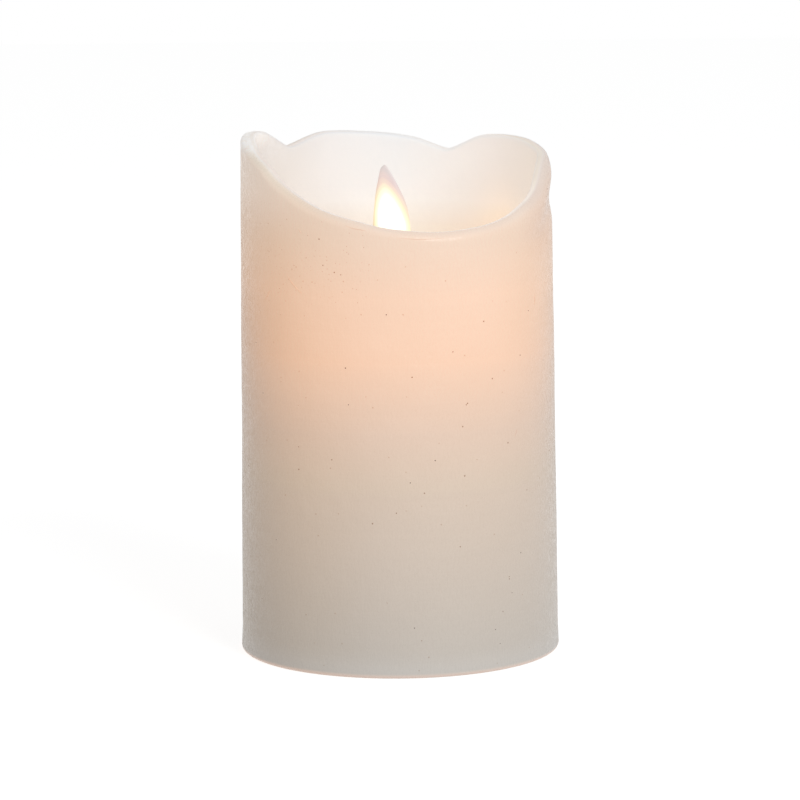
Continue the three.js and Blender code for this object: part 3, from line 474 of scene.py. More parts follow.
# Wax shell, in fine mesh
def wall_relief(azimuth, radius, height):
    """How far hand-poured wax falls short of a true wall, always inwards."""
    angle = math.radians(azimuth)
    place = Vector((radius * math.cos(angle), radius * math.sin(angle), height))
    wave = noise.noise(place / WAVE_SIZE) + 1
    ripple = noise.noise(place / RIPPLE_SIZE) + 1
    return WAVE_DEPTH * wave / 2 + RIPPLE_DEPTH * ripple / 2


def wax_section(azimuth):
    """The shell's section, from the bore's foot round the outside and the lip to the well and back."""
    crest = rim_low + RIM_SPREAD * around(RIM_CREST_SHARES, azimuth)
    crest = min(crest, wax_high.z)
    shoulder = LOBE_SHOULDER * around(SHOULDER_SHARES, azimuth)
    neck = NECK_DEPTH * around(NECK_SHARES, azimuth)
    top_radius = wax_radius - WAX_TAPER
    crest_radius = top_radius - RIM_INSET
    well_radius = bore_radius - WELL_TAPER
    lip_radius = bore_radius - LIP_REACH
    shoulder_height = crest - shoulder
    section = [(bore_radius, 0.0)]
    for angle in quarter(ROUND_ROWS, skip_first=False):
        radius = wax_radius - FOOT_ROUND * (1 - math.sin(angle))
        section.append((radius, FOOT_ROUND * (1 - math.cos(angle))))
    for row in range(1, WALL_ROWS + 1):
        share = row / WALL_ROWS
        height = FOOT_ROUND + (shoulder_height - FOOT_ROUND) * share
        level = height / shoulder_height
        dent = neck * math.exp(-((level - NECK_HEIGHT_SHARE) / NECK_REACH_SHARE) ** 2)
        radius = wax_radius - WAX_TAPER * level - dent
        section.append((radius - wall_relief(azimuth, radius, height) * min(1, row / ROUND_ROWS), height))
    edge = wax_radius - section[-1][0]
    for angle in quarter(SHOULDER_ROWS):
        radius = crest_radius + RIM_INSET * math.cos(angle)
        fade = (edge - WAX_TAPER) * math.cos(angle)
        section.append((radius - fade, shoulder_height + shoulder * math.sin(angle)))
    for angle in quarter(LIP_ROWS):
        radius = crest_radius - (crest_radius - lip_radius) * math.sin(angle) ** LIP_SQUARE
        fall = max(math.cos(angle), 0) ** LIP_SQUARE
        section.append((radius, crest - RIM_DROP * (1 - fall)))
    wall_top = crest - RIM_DROP
    wall_foot = WELL_FLOOR + WELL_FILLET
    for row in range(1, WELL_ROWS + 1):
        share = row / WELL_ROWS
        height = wall_top + (wall_foot - wall_top) * share
        radius = lip_radius + (well_radius - lip_radius) * share
        dip = wall_relief(azimuth, radius, height) * math.sin(math.pi * share)
        section.append((radius + dip, height))
    for angle in quarter(FILLET_ROWS):
        radius = well_radius - WELL_FILLET * (1 - math.cos(angle))
        section.append((radius, WELL_FLOOR + WELL_FILLET * (1 - math.sin(angle))))
    floor_edge = well_radius - WELL_FILLET
    for row in range(1, FLOOR_ROWS + 1):
        share = row / FLOOR_ROWS
        radius = floor_edge + (FLAME_HOLE - floor_edge) * share
        section.append((radius, WELL_FLOOR - WELL_DISH * share))
    under = WELL_FLOOR - WELL_FLOOR_THICK
    section.append((FLAME_HOLE, under))
    section.append((bore_radius, under))
    for row in range(1, BORE_ROWS):
        section.append((bore_radius, under * (1 - row / BORE_ROWS)))
    return section


def make_wax():
    """The shell as one closed mesh; gives back its skin, for the marks that are set in it."""
    points = []
    for column in range(WAX_COLUMNS):
        azimuth = 360 * column / WAX_COLUMNS
        angle = math.radians(azimuth)
        section = wax_section(azimuth)
        points += [(r * math.cos(angle), r * math.sin(angle), z) for r, z in section]
    faces = ring_faces(WAX_COLUMNS, len(section), closed_rows=True)
    wax = mesh_object("wax_body", points, faces)
    fit_out(wax, "candle", "wax", wax_material(), "wax_shell")
    return bvhtree.BVHTree.FromPolygons(points, faces)


# Marks in the wax
def met_on(skin, azimuth, height):
    """Where a level line towards the axis meets the wax."""
    angle = math.radians(azimuth)
    inwards = Vector((-math.cos(angle), -math.sin(angle), 0))
    place, outward, *_ = skin.ray_cast(Vector((0, 0, height)) - inwards * wax_radius * 2, inwards)
    return place, outward


def add_fleck(solid, spot, radius):
    """A low round grain, half sunk in the surface."""
    place, outward = spot
    rise = radius * FLECK_RISE_SHARE
    profile = [(radius * out, rise * up) for out, up in FLECK_PROFILE_SHARES]
    solid.turned(profile, place, outward, sides=10)


def make_flecks(skin):
    draw = random.Random(FLECK_SEED)
    groups = (
        ("dark_flecks", DARK_FLECKS, 0.9, (0.12, 0.08, 0.06)),
        ("brown_flecks", BROWN_FLECKS, 1.1, (0.52, 0.41, 0.34)),
        ("faint_flecks", FAINT_FLECKS, 1.15, (0.84, 0.78, 0.73)),
    )
    for name, flecks, size, tint in groups:
        solid = Solid()
        for azimuth, height in flecks:
            spot = met_on(skin, azimuth, height / MM)
            add_fleck(solid, spot, FLECK_RADIUS * size * draw.uniform(*FLECK_VARIATION))
        for i in range(BACK_FLECKS * len(flecks) // len(FAINT_FLECKS)):
            azimuth = draw.uniform(*BACK_AZIMUTHS)
            spot = met_on(skin, azimuth, draw.uniform(*BACK_HEIGHT_SHARES) * wax_high.z)
            add_fleck(solid, spot, FLECK_RADIUS * size * draw.uniform(*FLECK_VARIATION))
        fit_out(solid.make(name), "candle", "wax", wax_material(f"wax_{name}", tint))
    # Darker grains in a cluster, a painted shade for small pits in the wax
    pits = Solid()
    for i in range(PIT_COUNT):
        spot = met_on(skin, draw.uniform(*PIT_AZIMUTHS), draw.gauss(PIT_HEIGHT, PIT_SPREAD))
        add_fleck(pits, spot, PIT_RADIUS * draw.uniform(*PIT_VARIATION))
    fit_out(pits.make("wax_pits"), "candle", "wax", wax_material("wax_pitted", (0.66, 0.56, 0.50)))


def make_hairlines(skin):
    """Thin creases that fade out at both ends, tinted a little darker as painted shade in the creases."""
    solid = Solid()
    for knots in HAIRLINES:
        route = []
        for i in range(HAIRLINE_STEPS + 1):
            share = i / HAIRLINE_STEPS * (len(knots) - 1)
            leg = min(int(share), len(knots) - 2)
            azimuth, height = Vector(knots[leg]).lerp(Vector(knots[leg + 1]), share - leg)
            route.append(met_on(skin, azimuth, height / MM)[0])
        radii = [HAIRLINE_RADIUS * (HAIRLINE_END_SHARE + math.sin(math.pi * i / HAIRLINE_STEPS))
                 for i in range(HAIRLINE_STEPS + 1)]
        solid.tube(route, radii, sides=6)
    fit_out(solid.make("wax_hairlines"), "candle", "wax", wax_material("wax_creased", (0.93, 0.88, 0.86)))


# Node helpers
class Shader:
    """A principled material that is put together from procedural nodes."""

    def __init__(self, name, **sockets):
        self.material = bpy.data.materials.new(name)
        self.material.use_nodes = True
        self.tree = self.material.node_tree
        self.shader = self.tree.nodes["Principled BSDF"]
        for socket, value in sockets.items():
            self.shader.inputs[socket.replace("_", " ").title().replace("Ior", "IOR")].default_value = value
        self.coordinates = self.tree.nodes.new("ShaderNodeTexCoord").outputs["Object"]

    def add(self, kind, inputs=None, **settings):
        node = self.tree.nodes.new(kind)
        for setting, value in settings.items():
            setattr(node, setting, value)
        for socket, value in (inputs or {}).items():
            if isinstance(value, bpy.types.NodeSocket):
                self.tree.links.new(value, node.inputs[socket])
            else:
                node.inputs[socket].default_value = value
        return node

    def link(self, output, socket):
        self.tree.links.new(output, self.shader.inputs[socket])

    def stretched(self, scale):
        return self.add("ShaderNodeMapping", {"Vector": self.coordinates, "Scale": scale}).outputs[0]

    def noise(self, scale, detail=4.0, roughness=0.55, vector=None):
        inputs = {"Vector": vector or self.coordinates, "Scale": scale, "Detail": detail,
                  "Roughness": roughness}
        return self.add("ShaderNodeTexNoise", inputs).outputs["Fac"]

    def ramp(self, factor, stops, interpolation="LINEAR"):
        node = self.add("ShaderNodeValToRGB", {"Fac": factor})
        node.color_ramp.interpolation = interpolation
        elements = node.color_ramp.elements
        while len(elements) < len(stops):
            elements.new(1)
        for element, (place, colour) in zip(elements, stops):
            element.position = place
            element.color = (*colour, 1)
        return node.outputs["Color"]

    def mix(self, factor, first, second, blend="MIX"):
        node = self.add("ShaderNodeMix", data_type="RGBA", blend_type=blend)
        for index, value in ((0, factor), (6, first), (7, second)):
            if isinstance(value, bpy.types.NodeSocket):
                self.tree.links.new(value, node.inputs[index])
            elif index:
                node.inputs[index].default_value = (*value, 1)
            else:
                node.inputs[index].default_value = value
        return node.outputs[2]

    def math(self, operation, first, second=0.0, third=0.0, clamp=False):
        inputs = {0: first, 1: second, 2: third}
        return self.add("ShaderNodeMath", inputs, operation=operation, use_clamp=clamp).outputs[0]

    def spread(self, value, low, high, to_low=0.0, to_high=1.0, smooth=False):
        inputs = {"Value": value, "From Min": low, "From Max": high, "To Min": to_low, "To Max": to_high}
        kind = "SMOOTHSTEP" if smooth else "LINEAR"
        return self.add("ShaderNodeMapRange", inputs, interpolation_type=kind).outputs[0]

    def grey(self, value):
        return self.add("ShaderNodeCombineColor", {0: value, 1: value, 2: value}).outputs[0]

    def axes(self):
        return self.add("ShaderNodeSeparateXYZ", {0: self.coordinates}).outputs

    def bump(self, height, distance, strength=1.0, normal=None):
        inputs = {"Height": height, "Distance": distance, "Strength": strength}
        if normal is not None:
            inputs["Normal"] = normal
        return self.add("ShaderNodeBump", inputs).outputs[0]


def wax_material(name="wax_fine", tint=None):
    """Frosted ivory wax with lamplight coming through it, and a darker tint of it for flecks."""
    wax = Shader(name, roughness=0.5, ior=1.44, specular_ior_level=0.45, sheen_weight=SHEEN,
                 sheen_roughness=SHEEN_ROUGHNESS, sheen_tint=SHEEN_TINT)
    x, y, z = wax.axes()
    radius = wax.math("SQRT", wax.math("ADD", wax.math("MULTIPLY", x, x), wax.math("MULTIPLY", y, y)))
    top_radius = wax_radius - WAX_TAPER

    def over_floor(climb):
        return wax.spread(z, *(WELL_FLOOR + rise for rise in climb))

    def patch(across, heights):
        return wax.math("MULTIPLY", wax.spread(x, *across, smooth=True), wax.spread(z, *heights, smooth=True))

    def outside(mask):
        return wax.math("MULTIPLY", mask, wax.math("SUBTRACT", 1.0, inside))

    def added(mask, glow, light):
        return wax.mix(mask, glow, wax.mix(1.0, glow, light, "ADD"))

    def shaded(mask, glow, shade):
        return wax.mix(mask, glow, wax.mix(1.0, glow, shade, "SUBTRACT"))

    # Ivory body, a little cloudy, with faint level lines and cooler low down. Painted shade makes it darker
    # and warmer on the left, and a little darker on both flanks in a band below the rim
    cloud = wax.noise(28, 5, 0.6)
    lines = wax.noise(1, 3, 0.6, wax.stretched((6, 6, 420)))
    body = wax.mix(wax.spread(cloud, 0.3, 0.7), (0.68, 0.60, 0.53), (0.72, 0.64, 0.57))
    body = wax.mix(wax.spread(lines, 0.35, 0.75, 0, 0.35), body, (0.66, 0.60, 0.54))
    cool = wax.spread(z, *COOL_HEIGHTS)
    body = wax.mix(wax.math("MULTIPLY", cool, 0.6), body, (0.69, 0.635, 0.575))
    # Painted shade: darker and warmer on the left
    leftward = wax.spread(x, *LEFTWARD_REACH, smooth=True)
    body = wax.mix(leftward, body, wax.mix(1.0, body, (1.0, 0.975, 0.94), "MULTIPLY"))
    # Painted shade: a little darker on both flanks, in a band below the rim
    band = wax.math("MULTIPLY", wax.spread(z, *BAND_RISE, smooth=True),
                    wax.spread(z, *BAND_FALL, smooth=True))
    flanks = wax.spread(wax.math("ABSOLUTE", x), *FLANKS_REACH, smooth=True)
    body = wax.mix(wax.math("MULTIPLY", band, flanks), body,
                   wax.mix(1.0, body, (0.985, 0.955, 0.925), "MULTIPLY"))

    # Frost on the rim, thickest on the left lobe
    rim = wax.spread(radius, top_radius - FROST_DEPTH, bore_radius + FROST_MARGIN, smooth=True)
    rim = wax.math("MULTIPLY", rim, over_floor(FROST_CLIMB))
    body = wax.mix(wax.math("MULTIPLY", rim, 0.7), body, (0.80, 0.77, 0.74))
    crown = patch(*CROWN_PATCH)
    frosted = wax.math("MAXIMUM", wax.math("MULTIPLY", patch(*LEFT_FROST_PATCH), rim), crown)
    grains = wax.spread(wax.noise(650, 3, 0.7), 0.42, 0.58, 0.6, 1)
    frosted = wax.math("MULTIPLY", frosted, grains)
    body = wax.mix(frosted, body, FROST_COLOUR)

    # Lamplight through the wall, by height, with painted shade that dims it towards the sides and the back,
    # less so near the top
    share = wax.math("DIVIDE", z, wax_high.z)
    through = wax.ramp(share, [
        (0.0, (0.0, 0.0, 0.0)), (0.13, (0.05, 0.02, 0.0)), (0.34, (0.15, 0.07, 0.02)),
        (0.36, (0.165, 0.08, 0.021)), (0.46, (0.245, 0.102, 0.031)), (0.60, (0.42, 0.16, 0.038)),
        (0.72, (0.42, 0.185, 0.07)), (0.82, (0.35, 0.19, 0.10)), (1.0, (0.31, 0.235, 0.185)),
    ])
    # Painted shade: the glow falls to SIDE_GLOW away from the front, less so near the top
    front = math.radians(GLOW_AZIMUTH)
    across = wax.math("MULTIPLY_ADD", x, math.cos(front), wax.math("MULTIPLY", y, math.sin(front)))
    side = wax.spread(wax.math("DIVIDE", across, radius), 0.05, 0.95, SIDE_GLOW, 1.0, smooth=True)
    lift = wax.spread(z, *LIFT_HEIGHTS, 0, 0.55, smooth=True)
    side = wax.math("ADD", side, wax.math("MULTIPLY", wax.math("SUBTRACT", 1.0, side), lift))
    through = wax.mix(1.0, through, wax.grey(side), "MULTIPLY")

    # Flame light on the inside of the well, warmer low down, most of all on the right and by the flame
    inside = wax.spread(radius, top_radius - INSIDE_DEPTH, bore_radius + INSIDE_MARGIN, smooth=True)
    over = wax.spread(z, *OVER_FLOOR_HEIGHTS, smooth=True)
    well = wax.ramp(wax.spread(x, -bore_radius, bore_radius), [
        (0.0, (0.10, 0.095, 0.10)), (0.25, (0.175, 0.20, 0.24)), (0.5, (0.20, 0.245, 0.295)),
        (0.85, (0.30, 0.285, 0.285)), (1.0, (0.30, 0.275, 0.25)),
    ])
    low = wax.ramp(share, [
        (0.74, (1.5, 1.15, 0.75)), (0.80, (1.28, 1.12, 0.95)), (0.835, (1.10, 1.02, 0.94)),
        (0.87, (1.0, 0.97, 0.95)), (0.97, (1, 1, 1)),
    ])
    well = wax.mix(1.0, well, low, "MULTIPLY")
    for centre, reach, colour in WELL_SPOTS:
        offset = wax.add("ShaderNodeVectorMath", {0: wax.coordinates, 1: centre}, operation="DISTANCE")
        well = added(wax.spread(offset.outputs["Value"], reach, 0.0, smooth=True), well, colour)
    glow = wax.mix(wax.math("MULTIPLY", inside, over), through, well)

    # Painted highlight along the lip's inner line, with painted shade that dulls it along the right lobe
    line = wax.math("MULTIPLY", wax.spread(radius, *(bore_radius + out for out in LINE_RISE), smooth=True),
                    wax.spread(radius, *(bore_radius + out for out in LINE_FALL), smooth=True))
    line = wax.math("MULTIPLY", line, over_floor(LINE_CLIMB))
    lobe = patch(*LOBE_PATCH)
    body = wax.mix(wax.math("MULTIPLY", line, 0.8), body, LIP_HIGHLIGHT_COLOUR)
    lit_line = wax.math("MULTIPLY", line, wax.math("SUBTRACT", 1.0, lobe))
    glow = added(lit_line, glow, wax.mix(leftward, LIP_LINE_HIGHLIGHT, LEFT_LINE_HIGHLIGHT))
    glow = shaded(wax.math("MULTIPLY", line, lobe), glow, LOBE_LINE_SHADE)

    # Painted light and shade on the brow between the lip and the outside, painted shade on the right flank,
    # and painted light on the upper left and on the frosted crown
    brow = wax.math("MULTIPLY", wax.spread(radius, top_radius, top_radius - BROW_DEPTH, smooth=True),
                    over_floor(BROW_CLIMB))
    brow = wax.math("SUBTRACT", brow, wax.math("MULTIPLY", brow, inside), clamp=True)
    glow = added(brow, glow, wax.mix(leftward, BROW_LIGHT, (0.0, 0.0, 0.0)))
    glow = shaded(brow, glow, wax.mix(leftward, BROW_SHADE, LEFT_BROW_SHADE))
    glow = shaded(outside(patch(*FLANK_PATCH)), glow, FLANK_SHADE)
    glow = added(outside(patch(*LEFT_TOP_PATCH)), glow, LEFT_TOP_LIGHT)
    glow = wax.mix(wax.math("MULTIPLY", crown, grains), glow, CROWN_GLOW)

    # Painted light along the foot: a pinkish edge and a paler band over it
    sole = wax.math("MULTIPLY", wax.spread(z, *SOLE_HEIGHTS, smooth=True),
                    wax.spread(radius, *(wax_radius - depth for depth in SOLE_DEPTHS), smooth=True))
    glow = added(sole, glow, FOOT_EDGE_GLOW)
    glow = added(wax.spread(z, *NEAR_SOLE_HEIGHTS, smooth=True), glow, FOOT_BAND_GLOW)

    if tint:
        body = wax.mix(1.0, body, tint, "MULTIPLY")
        glow = wax.mix(1.0, glow, tint, "MULTIPLY")
    wax.link(body, "Base Color")
    wax.link(glow, "Emission Color")
    wax.shader.inputs["Emission Strength"].default_value = 1.0

    # Frosted skin with glossier dabs that catch the light edge on, pits and fine upright streaks
    dabs = wax.noise(1, 3, 0.65, wax.stretched((1800, 1800, 700)))
    wax.link(wax.spread(outside(wax.spread(dabs, 0.46, 0.56)), 0, 1, 0.5, 0.22), "Roughness")
    frost = wax.noise(900, 6, 0.7)
    streaks = wax.noise(1, 4, 0.7, wax.stretched((1500, 1500, 420)))
    pits = wax.add("ShaderNodeTexVoronoi", {"Vector": wax.coordinates, "Scale": 210.0}).outputs["Distance"]
    pits = wax.spread(pits, 0.0, 0.16)
    soft = wax.bump(wax.noise(120, 4, 0.6), 0.00035, 0.35)
    soft = wax.bump(lines, 0.00012, 0.5, soft)
    soft = wax.bump(pits, 0.00010, 0.35, soft)
    soft = wax.bump(streaks, 0.00012, 0.5, soft)
    wax.link(wax.bump(frost, 0.00006, 0.6, soft), "Normal")
    return wax.material


def flame_material():
    """A pale blade, lit from below up to a slanting soft edge."""
    flame = Shader("flame_lit", roughness=0.3, ior=1.46)
    x, _, z = flame.axes()
    share = flame.spread(z, PIVOT_HEIGHT, flame_tip)
    flame.link(flame.ramp(share, [
        (0.0, (0.80, 0.72, 0.58)), (0.7, (0.82, 0.75, 0.68)), (0.86, (0.78, 0.69, 0.71)),
        (1.0, (0.78, 0.70, 0.70)),
    ]), "Base Color")
    above = flame.math("MAXIMUM", flame.math("SUBTRACT", z, LIT_HEIGHT), 0.0)
    below = flame.math("MAXIMUM", flame.math("SUBTRACT", LIT_HEIGHT, z), 0.0)
    tilt = flame.math("MULTIPLY", above, LIT_TILT)
    drift = flame.math("MULTIPLY", below, -LIT_DRIFT)
    off = flame.math("ADD", flame.math("ADD", x, LIT_SHIFT), flame.math("ADD", tilt, drift))
    wide = flame.math("POWER", flame.math("ABSOLUTE", flame.math("DIVIDE", off, LIT_HALF)), LIT_POWER)
    tall = flame.math("POWER", flame.math("DIVIDE", above, LIT_RISE), LIT_POWER)
    field = flame.math("POWER", flame.math("ADD", wide, tall), 1 / LIT_POWER)
    glow = flame.ramp(flame.spread(field, 0.0, 2.0), [
        (0.0, (1.0, 0.95, 0.80)), (0.36, (0.90, 0.85, 0.60)), (0.44, (0.60, 0.53, 0.26)),
        (0.50, (0.38, 0.31, 0.11)), (0.56, (0.24, 0.15, 0.065)), (0.63, (0.11, 0.05, 0.035)),
        (0.74, (0.0, 0.0, 0.01)),
    ], "EASE")
    # Painted light towards the tip
    tip = flame.spread(share, 0.84, 1.0, smooth=True)
    flame.link(flame.mix(tip, glow, flame.mix(1.0, glow, FLAME_TIP_GLOW, "ADD")), "Emission Color")
    flame.shader.inputs["Emission Strength"].default_value = 1.0
    flame.link(flame.bump(flame.noise(300, 3), 0.0001, 0.3), "Normal")
    return flame.material


def plastic_material(name, colour, roughness, edge=EDGE_ROUND):
    """Moulded plastic with a fine grain, and edges rounded by a small radius if one is given."""
    plastic = Shader(name, roughness=roughness, ior=1.49)
    shade = tuple(channel * 0.93 for channel in colour)
    plastic.link(plastic.mix(plastic.spread(plastic.noise(60, 4), 0.3, 0.7), shade, colour), "Base Color")
    rounded = plastic.add("ShaderNodeBevel", {"Radius": edge}, samples=8).outputs[0] if edge else None
    plastic.link(plastic.bump(plastic.noise(1500, 3), 0.00005, 0.3, rounded), "Normal")
    return plastic.material


def metal_material(name, colour, roughness, brushed=(1, 1, 1)):
    metal = Shader(name, metallic=1.0)
    streaks = metal.noise(320, 3, 0.5, metal.stretched(brushed))
    metal.link(metal.spread(streaks, 0.3, 0.7, roughness * 0.8, roughness * 1.25), "Roughness")
    shade = tuple(channel * 0.86 for channel in colour)
    metal.link(metal.mix(metal.spread(metal.noise(90, 3), 0.3, 0.7), shade, colour), "Base Color")
    metal.link(metal.bump(streaks, 0.000008, 0.2), "Normal")
    return metal.material


def copper_material():
    copper = Shader("copper_wire", metallic=1.0, roughness=0.32)
    phase = copper.math("MULTIPLY", copper.axes()["Z"], 2 * math.pi / WINDING_PITCH)
    turns = copper.math("SINE", phase)
    # Painted highlight on each turn's crest and painted shade between the turns
    turn_highlight_and_shade = copper.mix(copper.spread(turns, -1, 1), (0.30, 0.10, 0.03), (0.72, 0.31, 0.13))
    copper.link(turn_highlight_and_shade, "Base Color")
    copper.link(copper.bump(turns, 0.0001, 0.8), "Normal")
    return copper.material


def board_material():
    board = Shader("board_green", roughness=0.35, ior=1.5)
    cells = board.add("ShaderNodeTexVoronoi", {"Vector": board.coordinates, "Scale": 260.0},
                      distance="CHEBYCHEV", feature="F1").outputs["Distance"]
    tracks = board.spread(cells, 0.30, 0.36)
    board.link(board.mix(tracks, (0.012, 0.15, 0.05), (0.02, 0.26, 0.09)), "Base Color")
    board.link(board.bump(tracks, 0.00004, 0.5), "Normal")
    return board.material


def cell_material(high_end):
    """A plain wrapped cell: blue, with a copper-coloured band by its high end and bare steel ends."""
    cell = Shader("cell_wrap_high" if high_end > 0 else "cell_wrap_low", ior=1.5)
    low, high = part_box("battery_cell_a" if high_end > 0 else "battery_cell_b")
    ends = (low.x, high.x) if high_end > 0 else (high.x, low.x)
    share = cell.spread(cell.axes()["X"], *ends)
    steel = (0.62, 0.62, 0.64)
    wrap = cell.ramp(share, [
        (0.0, steel), (0.02, (0.03, 0.11, 0.30)), (0.28, (0.03, 0.11, 0.30)), (0.30, (0.86, 0.86, 0.84)),
        (0.32, (0.05, 0.20, 0.48)), (0.70, (0.05, 0.20, 0.48)), (0.72, (0.70, 0.33, 0.14)),
        (0.955, (0.70, 0.33, 0.14)), (0.965, steel),
    ], "CONSTANT")
    cell.link(wrap, "Base Color")
    bare = cell.ramp(share, [(0.0, (1, 1, 1)), (0.02, (0, 0, 0)), (0.965, (1, 1, 1))], "CONSTANT")
    cell.link(bare, "Metallic")
    cell.link(cell.spread(cell.noise(300, 4), 0.3, 0.7, 0.22, 0.36), "Roughness")
    cell.link(cell.bump(cell.noise(500, 3), 0.00004, 0.4), "Normal")
    return cell.material


def resistor_material():
    """Tan body with colour bands, and tinned legs beyond it."""
    resistor = Shader("resistor_banded", roughness=0.4)
    low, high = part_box("resistor_1")
    share = resistor.spread(resistor.axes()["X"], low.x, high.x)
    tan = (0.62, 0.46, 0.26)
    tin = (0.60, 0.60, 0.58)
    bands = resistor.ramp(share, [
        (0.0, tin), (0.2, tan), (0.30, (0.25, 0.08, 0.03)), (0.36, tan), (0.44, (0.02, 0.02, 0.02)),
        (0.50, tan), (0.57, (0.45, 0.03, 0.02)), (0.63, tan), (0.70, (0.50, 0.36, 0.08)),
        (0.75, tan), (0.8, tin),
    ], "CONSTANT")
    resistor.link(bands, "Base Color")
    resistor.link(resistor.bump(resistor.noise(800, 3), 0.00003, 0.3), "Normal")
    return resistor.material


def lens_material():
    """A warm lens that glows towards its top."""
    lens = Shader("lamp_lens_warm", roughness=0.12, ior=1.5)
    low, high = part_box("led_lamp")
    share = lens.spread(lens.axes()["Z"], low.z, high.z)
    body = lens.ramp(share, [(0.0, (0.55, 0.55, 0.52)), (0.3, (0.80, 0.66, 0.36)), (1.0, (0.95, 0.86, 0.62))])
    glow = lens.ramp(share, [(0.3, (0.0, 0.0, 0.0)), (0.6, (0.9, 0.62, 0.25)), (1.0, (1.6, 1.25, 0.75))])
    lens.link(body, "Base Color")
    lens.link(glow, "Emission Color")
    lens.shader.inputs["Emission Strength"].default_value = 1.0
    lens.link(lens.bump(lens.noise(400, 3), 0.00003, 0.3), "Normal")
    return lens.material


# Lit flame blade: a lens-shaped section that narrows to a fine edge
def flame_ring(height, half, thick, lean):
    """One level of the blade: a lens of the given half width, thickest in the middle."""
    ring = []
    for face in (-1, 1):
        for i in range(FLAME_ARC):
            share = i / FLAME_ARC
            angle = math.pi * share
            x = half * math.cos(angle) * -face
            y = thick / 2 * math.sin(angle) ** FLAME_LENS_POWER * face
            ring.append((lean + x, y, height))
    return ring


def make_flame():
    """The blade with its eye for the pivot wire, its tail and the foot over the magnet."""
    rise = flame_tip - PIVOT_HEIGHT
    rings = []
    for row in range(1, FLAME_ROWS + 1):
        share = row / FLAME_ROWS
        left, right = between(FLAME_EDGE_SHARES, share)
        half = FLAME_HALF * (left + right) / 2
        lean = FLAME_HALF * (right - left) / 2 - math.tan(FLAME_LEAN) * rise * share
        lean += FLAME_SHIFT * min(1, share / FLAME_SHIFT_FROM)
        thick = FLAME_THICK * min(1, FLAME_EDGE_THICK_SHARE + half / FLAME_HALF)
        rings.append(flame_ring(PIVOT_HEIGHT + rise * share, half, thick, lean))
    blade = Solid()
    blade.loft(rings)
    eye = Solid()
    half = FLAME_THICK / 2
    edge = EYE_ROUND
    eye.turned([(EYE_BORE, -half), (EYE_RADIUS - edge, -half), (EYE_RADIUS, edge - half),
                (EYE_RADIUS, half - edge), (EYE_RADIUS - edge, half), (EYE_BORE, half)],
               (0, 0, PIVOT_HEIGHT), (0, 1, 0), closed=True)
    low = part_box("flame_blade")[0].z
    magnet_low, magnet_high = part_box("pendulum_magnet")
    shift = (magnet_low.x + magnet_high.x) / 2
    foot_top = low + FOOT_THICK
    tail = Solid()
    tail_top = PIVOT_HEIGHT - EYE_RADIUS * EYE_OVERLAP_SHARE
    tail_thick = FLAME_THICK * TAIL_THICK_SHARE
    tail.loft([flame_ring(foot_top + (tail_top - foot_top) * share - FOOT_THICK * (1 - share) / 2,
                          TAIL_HALF, tail_thick, 0) for share in (0, 0.5, 1)])
    foot = Solid()
    rim = FOOT_RADIUS - EYE_ROUND
    foot.turned([(0, low), (rim, low), (FOOT_RADIUS, low + EYE_ROUND), (FOOT_RADIUS, foot_top - EYE_ROUND),
                 (rim, foot_top), (0, foot_top)], (shift, 0, 0))
    fit_out(united("flame_lit", [blade, eye, tail, foot]), "flame", "flame", flame_material(), "flame_blade")


# Raised marks on the base and its door
def word_mesh(name, word, size):
    """Closed letters, with their middle at the origin."""
    text = bpy.data.curves.new(name, "FONT")
    text.body = word
    text.align_x = "CENTER"
    text.size = size
    text.extrude = (MARK_RISE + MARK_SINK) / 2
    carrier = bpy.data.objects.new(name, text)
    bpy.context.scene.collection.objects.link(carrier)
    bpy.context.view_layer.update()
    mesh = bpy.data.meshes.new_from_object(carrier.evaluated_get(bpy.context.evaluated_depsgraph_get()))
    bpy.data.objects.remove(carrier)
    shape = bmesh.new()
    shape.from_mesh(mesh)
    bmesh.ops.remove_doubles(shape, verts=shape.verts[:], dist=MARK_WELD)
    bmesh.ops.recalc_face_normals(shape, faces=shape.faces[:])
    shape.to_mesh(mesh)
    shape.free()
    heights = [corner.co.y for corner in mesh.vertices]
    middle = (min(heights) + max(heights)) / 2
    mesh.transform(Matrix.Translation((0, -middle, 0)))
    return mesh


def set_mark(name, mesh, place, level, down, body):
    """A mark at its place, in millimetres, and its level, with its face down or up."""
    turn = Matrix.Rotation(math.pi if down else 0, 4, "X")
    mesh.transform(Matrix.Translation((place[0] / MM, place[1] / MM, level)) @ turn)
    made = bpy.data.objects.new(name, mesh)
    bpy.context.scene.collection.objects.link(made)
    fit_out(made, body, "base_plastic", bpy.data.materials["base_marks"])


def make_marks():
    """The words and the arrow underneath, and the signs inside the door."""
    plastic_material("base_marks", (0.50, 0.47, 0.41), 0.5, edge=0)
    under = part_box("battery_tub")[0].z
    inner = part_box("battery_door")[1].z
    half = (MARK_RISE - MARK_SINK) / 2
    for name, word, size, place, body in OUTER_MARKS:
        set_mark(name, word_mesh(name, word, size / MM), place, under - half, True, body)
    for name, word, size, place, body in INNER_MARKS:
        set_mark(name, word_mesh(name, word, size / MM), place, inner + half, False, body)
    arrow = Solid()
    x, y = ARROW_TIP
    thick = MARK_RISE + MARK_SINK
    stem = ARROW_SIZE * ARROW_STEM_SHARE
    corners = [(0, 0), (ARROW_SIZE, ARROW_SIZE), (ARROW_SIZE, stem), (2 * ARROW_SIZE, stem),
               (2 * ARROW_SIZE, -stem), (ARROW_SIZE, -stem), (ARROW_SIZE, -ARROW_SIZE)]
    arrow.loft([[(a / MM, b / MM, level) for a, b in corners] for level in (-thick / 2, thick / 2)])
    made = arrow.make("door_arrow_mark")
    made.data.transform(Matrix.Translation((x / MM, y / MM, under - half)))
    fit_out(made, "door", "base_plastic", bpy.data.materials["base_marks"])


